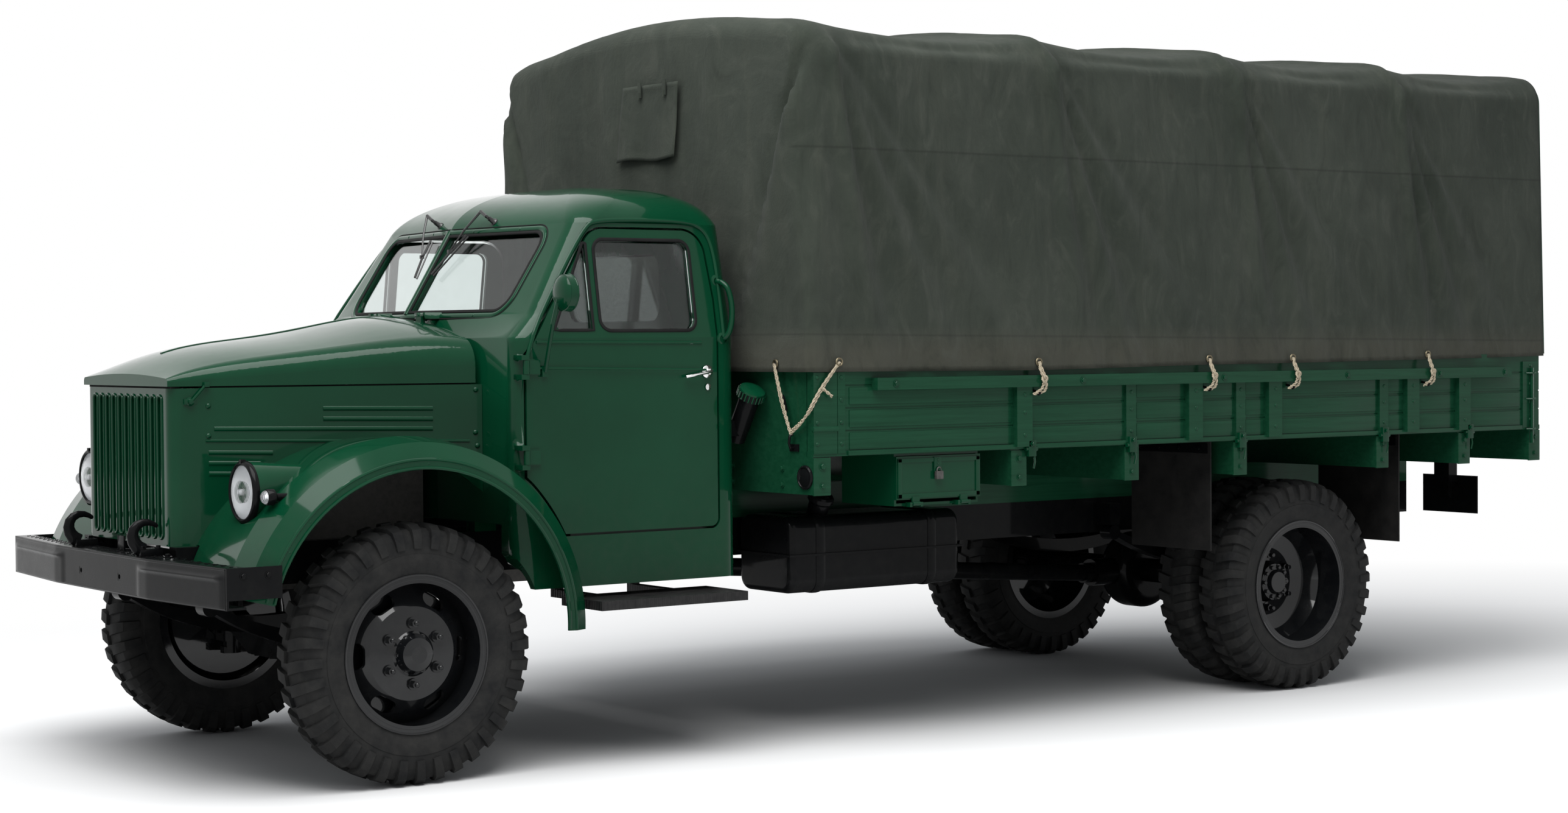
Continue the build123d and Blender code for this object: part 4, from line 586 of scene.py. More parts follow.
def add_rim_lips(shape, x, station):
    """Two rolled lips on the outer side of a wheel. x has the sign of its side."""
    for radius, offset in ((0.277, 0.0885), (0.262, 0.086)):
        plane = x + offset if x > 0 else x - offset
        shape.tube([(plane, station + y, AXLE_Z + z) for y, z in circle(radius, 120)], 0.0045, 8, closed=True)


# Wheel nuts, hub bolts, rim lips and the brake drums behind the front wheels' windows
DRUM = ((-0.064, 0.079), (-0.064, 0.222), (-0.058, 0.228), (-0.028, 0.228), (-0.022, 0.222), (-0.022, 0.079))
for side, sign in SIDES:
    out = (sign, 0, 0)
    hub = Shape()
    face = Vector((sign * (FRONT_WHEEL_X + 0.0535), FRONT_AXLE_Y, AXLE_Z))
    for y, z in circle(0.108, 6, 30.0):
        place = face + Vector((0.0, y, z))
        hub.lathe(place, out, ((-0.002, 0.021), (0.006, 0.021), (0.008, 0.016)), 18)
        hub.bolt(place + Vector((sign * 0.006, 0, 0)), out, 0.025, 0.019)
        hub.lathe(place, out, ((0.020, 0.008), (0.036, 0.008), (0.038, 0.006), (0.038, 0.0)), 12)
    for y, z in circle(0.064, 6):
        hub.bolt((sign * (FRONT_WHEEL_X + 0.063), FRONT_AXLE_Y + y, AXLE_Z + z), out, 0.014, 0.008)
    add_rim_lips(hub, sign * FRONT_WHEEL_X, FRONT_AXLE_Y)
    hub.lathe((sign * FRONT_WHEEL_X, FRONT_AXLE_Y, AXLE_Z), out, DRUM, 48)
    hub.finish(f"wheel_nuts_front_{side}", f"wheel_front_{side}", "black_paint", WHEEL)

    hub = Shape()
    for y, z in circle(0.067, 10):
        hub.bolt((sign * (REAR_HUB_X + 0.0615), REAR_AXLE_Y + y, AXLE_Z + z), out, 0.017, 0.010)
    for y, z in circle(0.118, 6, 30.0):
        place = (sign * (REAR_HUB_X + 0.012), REAR_AXLE_Y + y, AXLE_Z + z)
        hub.bolt(place, out, 0.030, 0.022)
        hub.lathe(place, out, ((0.020, 0.010), (0.042, 0.010), (0.044, 0.008), (0.044, 0.0)), 12)
    add_rim_lips(hub, sign * REAR_OUTER_X, REAR_AXLE_Y)
    hub.finish(f"wheel_nuts_rear_{side}", f"wheel_rear_{side}", "black_paint", WHEEL)

# Canvas cover: one sheet that closes the front end, runs back over the bows and hangs to the lashing rail

BOWS = [at(y) for y in (1615.0, 2719.0, 3759.0, 4786.0, 5765.0)]
HEM_X = 1.166
HEM_Z = 1.430
EAVES = Vector((1.128, 2.728))
CROWN_Z = 2.855
SHOULDER_RADIUS = 0.120
SHEET_INSET = 0.010
SHEET_THICKNESS = 0.0028
# Top of the hem at the cover's front, and how far it has fallen at the rear
HEM_TOP_FRONT, HEM_TOP_FALL = 1.568, 0.047
# Edge of the lap on the front panel, as (x, z) at its foot and at its top
LAP_FOOT, LAP_TOP = (0.721, 1.684), (1.120, 2.640)
# Height of the hem along the side. Columns: station back from the front axle, height
HEM_LINE = ((1511.0, 1.427), (2636.0, 1.420), (3586.0, 1.432), (4088.0, 1.434), (4963.0, 1.441), (5798.0, 1.450))
# Tension folds that fan back and down from a bow's shoulder. Columns: bow, share of the bay at the hem, rise, width
FOLDS = (
    (0, 0.20, 0.016, 0.050), (0, 0.52, 0.010, 0.075), (0, 0.86, 0.007, 0.090),
    (1, 0.16, 0.012, 0.050), (1, 0.40, 0.015, 0.060), (1, 0.84, 0.008, 0.095),
    (2, 0.20, 0.013, 0.045), (2, 0.46, 0.017, 0.060), (2, 0.90, 0.007, 0.090),
    (3, 0.18, 0.014, 0.045), (3, 0.44, 0.015, 0.060), (3, 0.80, 0.008, 0.080),
)


def smooth(value, low, high):
    t = min(1.0, max(0.0, (value - low) / (high - low)))
    return t * t * (3.0 - 2.0 * t)


def table(rows, place):
    """Straight-line reading of a two-column table."""
    for (a, va), (b, vb) in zip(rows, rows[1:]):
        if place <= b:
            return va + (vb - va) * max(0.0, (place - a) / (b - a))
    return rows[-1][1]


def hem_height(y):
    return table(HEM_LINE, (y - FRONT_AXLE_Y) * 1000.0)


def hoop_points(sides, roof):
    """Section of the stretched sheet from the left hem over the crown, as (x, z) points up to the crown."""
    hem = Vector((HEM_X - SHEET_INSET, HEM_Z))
    eaves = EAVES - Vector((SHEET_INSET, SHEET_INSET))
    crown = CROWN_Z - SHEET_INSET
    rise = crown - eaves.y
    radius = (eaves.x**2 + rise**2) / (2.0 * rise)
    up = (eaves - hem).normalized()
    start = atan2(eaves.y - crown + radius, eaves.x)
    over = Vector((-sin(start), cos(start)))
    turn = up.angle(over)
    cut = SHOULDER_RADIUS * sin(turn / 2.0) / cos(turn / 2.0)
    centre = eaves - up * cut + Vector((-up.y, up.x)) * SHOULDER_RADIUS
    half_steps = 5
    fillet = []
    for k in range(2 * half_steps + 1):
        angle = atan2(-up.x, up.y) + turn * k / (2 * half_steps)
        fillet.append(centre + Vector((cos(angle), sin(angle))) * SHOULDER_RADIUS)
    straight = [hem.lerp(fillet[0], k / sides) for k in range(sides)]
    begin = atan2(fillet[-1].y - crown + radius, fillet[-1].x)
    top = [
        Vector((radius * cos(a), crown - radius + radius * sin(a)))
        for a in (begin + (pi / 2.0 - begin) * k / roof for k in range(1, roof + 1))
    ]
    return straight + fillet[: half_steps + 1], fillet[half_steps:] + top


def edge_roll(z):
    """Radius of the front edge: tight at the bed's corner, slack over the first bow."""
    return 0.030 + 0.072 * smooth(z, 1.56, 2.20)


def fold_rise(y, z):
    """Sum of the tension folds at a point of the side."""
    drop = max(0.0, (EAVES.y - z) / (EAVES.y - HEM_Z))
    total = 0.0
    for bow, share, rise, width in FOLDS:
        bay = BOWS[bow + 1] - BOWS[bow]
        line = BOWS[bow] + 0.02 + bay * share * drop**1.15
        spread = 0.014 + width * drop
        away = (y - line) / spread
        fade = smooth(drop, 0.0, 0.10) * (1.0 - 0.65 * smooth(drop, 0.45, 1.0))
        total += rise * fade * (exp(-away * away) - 0.55 * exp(-((away - 1.7) ** 2)))
    return total


def sheet_rise(place, normal):
    """How far the sheet stands off its stretched form: sag between bows, folds, seams and creases."""
    x, y, z = place
    bay = max((k for k in range(4) if BOWS[k] <= y), default=0)
    u = min(1.0, max(0.0, (y - BOWS[bay]) / (BOWS[bay + 1] - BOWS[bay])))
    slack = 4.0 * u * (1.0 - u) * (1.0 + 0.25 * (u - 0.5))
    side = smooth(abs(normal.x), 0.45, 0.9)
    roof = smooth(normal.z, 0.15, 0.75)
    front = smooth(-normal.y, 0.5, 0.95)
    rise = -0.040 * slack * roof
    rise += 0.014 * roof * exp(-(((abs(x) - 0.97) / 0.15) ** 2))
    rise -= 0.012 * slack * side * smooth(z, HEM_Z, 1.75) * (0.6 + 0.4 * smooth(z, 2.2, 2.7))
    ridge = max(exp(-(((y - bow) / 0.022) ** 2)) for bow in BOWS[1:4])
    rise += 0.009 * ridge * (roof + 0.7 * side * smooth(z, 1.9, 2.7))
    rise += 2.2 * fold_rise(y, z) * side
    rise += 0.0120 * side * noise.noise(Vector((y * 1.6, z * 1.1 + y * 0.9, 3.1)))
    rise += 0.0085 * (side + front) * noise.noise(Vector((y * 4.3 + x * 3.0, z * 2.4 - y * 1.7, 8.6)))
    rise += 0.0012 * noise.noise(Vector((x * 17.0, y * 17.0, z * 14.0)))
    hem_top = HEM_TOP_FRONT - HEM_TOP_FALL * (y - COVER_FRONT_Y) / (COVER_REAR_Y - COVER_FRONT_Y)
    rise += 0.0022 * (1.0 - smooth(z, hem_top - 0.006, hem_top + 0.006)) * (side + front)
    rise -= 0.0022 * exp(-(((z - hem_top) / 0.006) ** 2)) * (side + front)
    rise += 0.0020 * exp(-(((z - SEAM_Z) / 0.016) ** 2)) * side
    pucker = 0.0035 * sin(y * 55.0) * sin(y * 23.0 + 1.3) * side
    rise += pucker * (1.0 - smooth(z, HEM_Z + 0.02, HEM_Z + 0.30))
    if front:
        rise += front * front_rise(x, z)
    return rise


def front_rise(x, z):
    """Envelope folds at the front corners: the side cloth laps over the front panel in a long triangle."""
    edge = LAP_FOOT[0] + (LAP_TOP[0] - LAP_FOOT[0]) * (z - LAP_FOOT[1]) / (LAP_TOP[1] - LAP_FOOT[1])
    rise = 0.0
    for sign, amount in ((1, 1.0), (-1, 0.8)):
        lap = sign * x - edge
        rise += amount * 0.026 * smooth(lap, -0.004, 0.012) * (1.0 - 0.6 * smooth(lap, 0.05, 0.30))
        rise -= amount * 0.024 * exp(-(((lap + 0.022) / 0.024) ** 2)) * smooth(z, 1.6, 2.4)
        ray = sign * x - edge - 0.12 * (2.70 - z)
        rise += amount * 0.010 * exp(-((ray / 0.030) ** 2)) * smooth(z, 1.5, 1.9)
    for top, foot, height in ((0.55, 0.30, 0.006), (-0.20, -0.34, 0.005), (-0.75, -0.62, 0.006)):
        line = foot + (top - foot) * (z - 1.43) / 1.35
        rise += height * exp(-(((x - line) / 0.055) ** 2))
    return rise


def make_cover():
    wall, roof = hoop_points(58, 26)
    over = roof + [Vector((-p.x, p.y)) for p in reversed(roof[:-1])]
    ring = wall[:-1] + over + [Vector((-p.x, p.y)) for p in reversed(wall[:-1])]
    corner = len(wall) - 1
    mesh = bmesh.new()
    steps = 190
    # Rows round the front edge by their angle, then rows along the truck by their share of its length
    stations = [(radians(angle), 0.0) for angle in (0, 15, 30, 45, 60, 75)]
    stations += [(pi / 2, k / steps) for k in range(steps + 1)]
    inward = []
    for k in range(len(ring)):
        along = ring[min(k + 1, len(ring) - 1)] - ring[max(k - 1, 0)]
        inward.append(Vector((-along.y, along.x)).normalized())
    rows = []
    for angle, share in stations:
        row = []
        for point, toward in zip(ring, inward):
            roll = edge_roll(point.y)
            y = COVER_FRONT_Y + roll * (1 - cos(angle))
            y += (COVER_REAR_Y - y) * share
            low = hem_height(y)
            moved = point + toward * (roll * (1 - sin(angle)) * 0.85)
            lift = (1.0 - smooth(moved.y, HEM_Z, HEM_Z + 0.35)) * (low - HEM_Z)
            row.append(mesh.verts.new((moved.x, y, moved.y + lift)))
        rows.append(row)
    for first, second in zip(rows, rows[1:]):
        for k in range(len(ring) - 1):
            mesh.faces.new((first[k], first[k + 1], second[k + 1], second[k]))
    # Front panel: a grid between the two front edges and the roof's front edge
    edge = rows[0]
    left = edge[: corner + 1]
    top = edge[corner : corner + len(over)]
    right = list(reversed(edge[corner + len(over) - 1 :]))
    count_u, count_v = len(top) - 1, len(left) - 1
    grid = [[None] * (count_v + 1) for _ in range(count_u + 1)]
    for i in range(count_u + 1):
        for j in range(count_v + 1):
            if i == 0:
                grid[i][j] = left[j]
            elif i == count_u:
                grid[i][j] = right[j]
            elif j == count_v:
                grid[i][j] = top[i]
            else:
                u, v = i / count_u, j / count_v
                foot = left[0].co.lerp(right[0].co, u)
                blend = left[j].co.lerp(right[j].co, u) + foot.lerp(top[i].co, v)
                blend -= left[0].co * ((1 - u) * (1 - v)) + right[0].co * (u * (1 - v))
                blend -= left[count_v].co * ((1 - u) * v) + right[count_v].co * (u * v)
                grid[i][j] = mesh.verts.new(blend)
    add_quads(mesh, grid)
    bmesh.ops.recalc_face_normals(mesh, faces=mesh.faces)
    mesh.normal_update()
    if sum(face.normal.z * face.calc_area() for face in mesh.faces) < 0:
        bmesh.ops.reverse_faces(mesh, faces=mesh.faces)
        mesh.normal_update()
    moves = [(vertex, vertex.normal.copy() * sheet_rise(vertex.co, vertex.normal)) for vertex in mesh.verts]
    for vertex, move in moves:
        vertex.co += move
    piece = make_object("canvas_cover", mesh, CANVAS)
    thick = piece.modifiers.new("cloth", "SOLIDIFY")
    thick.thickness = SHEET_THICKNESS
    thick.offset = -1.0
    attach(piece, "chassis")
    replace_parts(piece, "cover")
    return piece


cover = make_cover()

# Window flap on the front panel


def make_flap():
    corners = (Vector((-0.142, 2.278)), Vector((0.286, 2.277)), Vector((0.312, 2.578)), Vector((-0.091, 2.582)))
    front = COVER_FRONT_Y - 0.012
    columns, rows = 28, 22
    mesh = bmesh.new()
    grid = []
    for i in range(columns + 1):
        u = i / columns
        line = []
        for j in range(rows + 1):
            v = j / rows
            place = corners[0].lerp(corners[1], u).lerp(corners[3].lerp(corners[2], u), v)
            lift = 0.006 * sin(u * 9.0 + v * 2.0) * (1.0 - v) + 0.004 * noise.noise(Vector((u * 4.0, v * 3.0, 1.7)))
            border = min(u, 1.0 - u, v, 1.0 - v)
            lift += 0.0022 * (1.0 - smooth(border, 0.055, 0.075)) - 0.0016 * exp(-(((border - 0.065) / 0.012) ** 2))
            line.append(mesh.verts.new((place.x, front - 0.004 - lift, place.y + 0.006 * sin(u * 7.0) * (1.0 - v))))
        grid.append(line)
    add_quads(mesh, grid)
    piece = make_object("window_flap", mesh, CANVAS)
    thick = piece.modifiers.new("cloth", "SOLIDIFY")
    thick.thickness = 0.0026
    thick.offset = 1.0
    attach(piece, "chassis")

    straps = Shape()
    for x in (0.045, 0.225):
        straps.box((x - 0.011, front - 0.019, 2.530), (x + 0.011, front - 0.013, 2.592), 0.0015)
        straps.tube([(x, front - 0.020, z) for z in (2.520, 2.535, 2.550)], 0.004, 8)
    straps.finish("flap_straps", "chassis", "canvas", CANVAS)


make_flap()

# Eyelets along the hem and the ropes that lash it down

HEM_FACE = 1.1715
# Columns: station from the front axle, height of the eyelet
SIDE_EYELETS = ((1634.0, 1.463), (2631.0, 1.453), (3580.0, 1.456), (4082.0, 1.456), (4955.0, 1.464))
# The two strands of a side lash. Columns: out from the hem's or the rail's face, back from the eyelet, and
# height: on the hem from the eyelet, on the rail from the ground
SIDE_LASHES = (
    (
        ((0.004, 0.0, 0.002), (0.010, 0.002, -0.022)),
        (
            (0.004, 0.008, 1.412), (0.003, 0.012, 1.386), (0.002, 0.006, 1.356), (-0.004, -0.004, 1.338),
            (-0.014, -0.018, 1.334),
        ),
    ),
    (
        ((0.004, 0.0, 0.002), (0.012, -0.006, -0.024)),
        (
            (0.008, -0.004, 1.404), (0.006, 0.016, 1.382), (0.004, 0.022, 1.352), (-0.002, 0.012, 1.334),
            (-0.012, -0.006, 1.330), (-0.010, -0.034, 1.326),
        ),
    ),
)
ROPE_RADIUS = 0.0055
LASH_RADIUS = 0.0045
EYELET_RADIUS = 0.0135
RAIL_FACE = RAIL_X + 0.008


def spline_points(points, name):
    """Points along a smooth curve through a rope's route."""
    data = bpy.data.curves.new(name, "CURVE")
    data.dimensions = "3D"
    data.resolution_u = 10
    line = data.splines.new("NURBS")
    line.points.add(len(points) - 1)
    for point, place in zip(line.points, points):
        point.co = (*place, 1.0)
    line.order_u = 3
    line.use_endpoint_u = True
    route = bpy.data.objects.new(name, data)
    bpy.context.collection.objects.link(route)
    mesh = bpy.data.meshes.new_from_object(route)
    found = [vertex.co.copy() for vertex in mesh.vertices]
    bpy.data.objects.remove(route)
    bpy.data.curves.remove(data)
    bpy.data.meshes.remove(mesh)
    return found


def add_rope(shape, points, radius=ROPE_RADIUS):
    """Two strands laid round each other along a route."""
    path = spline_points(points, "route")
    travelled = 0.0
    strands = ([], [])
    for k, point in enumerate(path):
        before, after = path[max(k - 1, 0)], path[min(k + 1, len(path) - 1)]
        along = (after - before).normalized()
        side = along.cross(Vector((0.3, 0.2, 0.9))).normalized()
        other = along.cross(side)
        travelled += (point - before).length
        angle = travelled * 2.0 * pi / 0.045
        for strand, shift in zip(strands, (0.0, pi)):
            strand.append(point + (side * cos(angle + shift) + other * sin(angle + shift)) * radius * 0.55)
    for strand in strands:
        shape.tube(strand, radius * 0.62, 8)


ropes, eyelets, hooks = Shape(), Shape(), Shape()
for sign in (1, -1):
    for station, height in SIDE_EYELETS:
        y = at(station)
        ring = [(sign * (HEM_FACE + 0.0015), y + a, height + b) for a, b in circle(EYELET_RADIUS, 24)]
        eyelets.tube(ring, 0.0042, 8, closed=True)
        if station == SIDE_EYELETS[0][0]:
            continue  # the corner lash takes the first one
        for on_hem, on_rail in SIDE_LASHES:
            route = [(sign * (HEM_FACE + x), y + back, height + up) for x, back, up in on_hem]
            route += [(sign * (RAIL_FACE + x), y + back, z) for x, back, z in on_rail]
            add_rope(ropes, route)
        knot = [
            Vector((sign * (RAIL_FACE + 0.007), y + 0.010 + 0.012 * cos(a), 1.384 + 0.013 * sin(a)))
            + Vector((sign * 0.003 * sin(2 * a), 0.0, 0.0))
            for a in (radians(24 * k) for k in range(15))
        ]
        ropes.tube(knot, ROPE_RADIUS * 0.85, 8, closed=True)
        bend = ((BED_HALF, 1.340), (RAIL_FACE - 0.020, 1.336), (RAIL_FACE - 0.006, 1.324), (RAIL_FACE + 0.002, 1.332))
        hooks.tube([(sign * x, y - 0.010, z) for x, z in bend], 0.005, 8)

    # Lash at the front corner: one strand from the front panel, one from the side, to a hook on the front board
    hook = Vector((sign * 1.030, BED_FRONT_Y - 0.012, 1.168))
    front_eye = Vector((sign * 0.958, COVER_FRONT_Y - 0.020, 1.457))
    side_eye = Vector((sign * (HEM_FACE + 0.004), at(SIDE_EYELETS[0][0]), SIDE_EYELETS[0][1]))
    ring = [(front_eye.x + a, front_eye.y + 0.002, front_eye.z + b) for a, b in circle(EYELET_RADIUS, 24)]
    eyelets.tube(ring, 0.0042, 8, closed=True)
    for shift in (0.005, -0.005):
        route = [front_eye + Vector((shift * 0.5, -0.004, 0.0))]
        route += [front_eye.lerp(hook, share) + Vector((shift, -0.008, 0.0)) for share in (0.30, 0.62)]
        route.append(hook + Vector((shift * 0.5, -0.006, 0.020)))
        add_rope(ropes, route, LASH_RADIUS)
        route = [side_eye + Vector((0.0, shift * 0.5, 0.0))]
        for x, station, z in ((0.017, 1575.0, 1.385), (0.013, 1530.0, 1.318), (0.004, 1512.0, 1.278)):
            route.append(Vector((sign * (BED_HALF + x), at(station) + shift, z)))
        route.append(Vector((sign * 1.095, at(1508.0), 1.232 + shift)))
        route.append(hook + Vector((0.0, -0.008, 0.030 + shift)))
        add_rope(ropes, route, LASH_RADIUS)
    tail = ((0.018, 1560.0, 1.368), (0.024, 1578.0, 1.352), (0.022, 1606.0, 1.334))
    add_rope(ropes, [Vector((sign * (BED_HALF + x), at(station), z)) for x, station, z in tail])
    middle = front_eye.lerp(hook, 0.52)
    along = (hook - front_eye).normalized()
    toggle = ((0.0, 0.0), (0.002, 0.007), (0.012, 0.0095), (0.058, 0.0095), (0.070, 0.006), (0.072, 0.0))
    hooks.lathe(middle - along * 0.035, along, toggle, 14)
    bend = ((0.014, -0.028), (-0.010, -0.028), (-0.016, -0.010), (-0.012, 0.016), (0.0, 0.024))
    hooks.tube([hook + Vector((0.0, y, z)) for y, z in bend], 0.0055, 8)
    low = (hook.x - 0.028, BED_FRONT_Y - 0.006, hook.z - 0.042)
    hooks.box(low, (hook.x + 0.028, BED_FRONT_Y + 0.001, hook.z - 0.014), 0.002)
ropes.finish("lashing_ropes", "chassis", "canvas", ROPE, 60.0)
eyelets.finish("hem_eyelets", "chassis", "black_paint", BRASS)
hooks.finish("rope_hooks", "chassis", "black_paint", BLACK)

# Cab: window seals, gutters, handles, wipers and hood fittings


def windshield_y(x, z):
    t = (z - 1.650) / 0.335
    half = 0.815 - 0.058 * t
    return CAB_FRONT_Y + 0.020 + 0.204 * t + (0.100 + 0.008 * t) * abs(x) / half


def side_x(z):
    return table(((1.30, 0.8355), (1.56, 0.833), (1.65, 0.815), (1.985, 0.757)), z)


def meet(node, start, way):
    """Point where a line from start meets a CAD node's surface."""
    hit, place = frame["nodes"][node].ray_cast(Vector(start), Vector(way))[:2]
    return place if hit else None


def side_outline(low_y, low_z, high_y, high_z, radius):
    return [(at(y * 1000.0), z) for y, z in rounded(low_y, low_z, high_y, high_z, radius)]


# Corners of the quarter window, and the edges of the windshield panes
QUARTER = ((600.0, 1.588), (768.0, 1.588), (768.0, 1.908), (754.0, 1.908))
PANE_LOW, PANE_HIGH, PANE_OUT, PANE_CORNER = 1.664, 1.954, 0.606, 0.062
PANE_IN = 0.016


def make_cowl():
    """The cowl with its windshield panes cut out to the width that the photograph shows."""
    body = bmesh.new()
    body.from_mesh(frame["nodes"]["cab_cowl"].data)
    bmesh.ops.remove_doubles(body, verts=body.verts, dist=0.00002)
    data = bpy.data.meshes.new("cowl_panel")
    body.to_mesh(data)
    body.free()
    panel = bpy.data.objects.new("cowl_panel", data)
    bpy.context.collection.objects.link(panel)

    prism = bmesh.new()
    outline = [(PANE_IN, PANE_LOW)]
    for z, start in ((PANE_LOW + PANE_CORNER, -90.0), (PANE_HIGH - PANE_CORNER, 0.0)):
        for k in range(13):
            angle = radians(start + 7.5 * k)
            outline.append((PANE_OUT - PANE_CORNER * (1 - cos(angle)), z + PANE_CORNER * sin(angle)))
    outline.append((PANE_IN, PANE_HIGH))
    for sign in (1, -1):
        front = [prism.verts.new((sign * x, CAB_FRONT_Y - 0.10, z)) for x, z in outline]
        back = [prism.verts.new((sign * x, CAB_FRONT_Y + 0.45, z)) for x, z in outline]
        prism.faces.new(front)
        prism.faces.new(list(reversed(back)))
        count = len(outline)
        for k in range(count):
            prism.faces.new((front[k], back[k], back[(k + 1) % count], front[(k + 1) % count]))
    bmesh.ops.recalc_face_normals(prism, faces=prism.faces)
    cutter_data = bpy.data.meshes.new("cutter")
    prism.to_mesh(cutter_data)
    prism.free()
    cutter = bpy.data.objects.new("cutter", cutter_data)
    bpy.context.collection.objects.link(cutter)
    cut = panel.modifiers.new("cut", "BOOLEAN")
    cut.operation = "DIFFERENCE"
    cut.solver = "EXACT"
    cut.object = cutter
    depsgraph = bpy.context.evaluated_depsgraph_get()
    made = bpy.data.meshes.new_from_object(panel.evaluated_get(depsgraph))
    panel.modifiers.clear()
    panel.data = made
    bpy.data.objects.remove(cutter)
    made.materials.clear()
    made.materials.append(GREEN)
    for face in made.polygons:
        face.use_smooth = True
    made.set_sharp_from_angle(angle=radians(28.0))
    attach(panel, "chassis")
    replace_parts(panel, "cab_cowl")


make_cowl()

panes = Shape()
PANE_STEPS = 10
for sign in (1, -1):
    across = [PANE_IN - 0.006 + (PANE_OUT - PANE_IN + 0.012) * i / PANE_STEPS for i in range(PANE_STEPS + 1)]
    heights = [PANE_LOW - 0.006 + (PANE_HIGH - PANE_LOW + 0.012) * j / PANE_STEPS for j in range(PANE_STEPS + 1)]
    layers = []
    for depth in (0.014, 0.020):
        places = [[(sign * x, windshield_y(x, z) + depth, z) for z in heights] for x in across]
        layers.append([[panes.mesh.verts.new(place) for place in line] for line in places])
    outer, inner = layers
    for i in range(PANE_STEPS):
        for j in range(PANE_STEPS):
            for layer in layers:
                panes.mesh.faces.new((layer[i][j], layer[i + 1][j], layer[i + 1][j + 1], layer[i][j + 1]))
    for k in range(PANE_STEPS):
        rim = [((k, end), (k + 1, end)) for end in (0, PANE_STEPS)]
        rim += [((end, k), (end, k + 1)) for end in (0, PANE_STEPS)]
        for (i, j), (m, n) in rim:
            panes.mesh.faces.new((outer[i][j], outer[m][n], inner[m][n], inner[i][j]))
panes.box((-0.346, CAB_REAR_Y - 0.0245, 1.619), (0.346, CAB_REAR_Y - 0.0185, 1.896), 0.0)
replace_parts(panes.finish("cab_panes", "chassis", "window_glass", GLASS), "cab_glass")


def divided(points, longest=0.04):
    """A closed outline with points added so that no run is long."""
    found = []
    for (ua, va), (ub, vb) in zip(points, points[1:] + points[:1]):
        count = max(1, int(max(abs(ub - ua), abs(vb - va)) / longest))
        found += [(ua + (ub - ua) * k / count, va + (vb - va) * k / count) for k in range(count)]
    return found


def windshield_ring(grow, stand):
    """Outline round both panes, lying on the windshield frame."""
    outline = rounded(-PANE_OUT - grow, PANE_LOW - grow, PANE_OUT + grow, PANE_HIGH + grow, PANE_CORNER + grow, 10)
    return [(x, windshield_y(x, z) - stand, z) for x, z in divided(outline)]


cab_seals = Shape()
cab_seals.tube(windshield_ring(0.002, 0.0015), 0.0072, 8, closed=True, flat=0.55, up=(0, -1, 0.6))
for sign in (1, -1):
    heights = [PANE_LOW + (PANE_HIGH - PANE_LOW) * k / 8 for k in range(9)]
    cab_seals.tube([(sign * 0.0155, windshield_y(0.0155, z) - 0.001, z) for z in heights], 0.0045, 8)
cab_seals.tube(windshield_ring(0.029, -0.0005), 0.0030, 6, closed=True)
rear = [(x, CAB_REAR_Y + 0.002, z) for x, z in rounded(-0.342, 1.623, 0.342, 1.892, 0.062)]
cab_seals.tube(rear, 0.0085, 8, closed=True, flat=0.6, up=(0, 1, 0))
cab_seals.finish("cab_window_seals", "chassis", "flap_rubber", SEAL)
shield = Shape()
shield.tube(windshield_ring(0.017, 0.001), 0.0095, 10, closed=True, flat=0.55, up=(0, -1, 0.6))
heights = [PANE_LOW - 0.01 + 0.322 * k / 8 for k in range(9)]
post = [(0.0, windshield_y(0.0, z) - 0.002, z) for z in heights]
shield.tube(post, 0.0125, 12, flat=0.6, up=(0, -1, 0.6))
for x in (-0.44, -0.16, 0.16, 0.44):
    for z in (PANE_HIGH + 0.017, PANE_LOW - 0.017):
        shield.rivet((x, windshield_y(x, z) - 0.005, z), (0, -0.85, 0.5), 0.006)
shield.finish("windshield_frame", "chassis", "green_paint", GREEN)

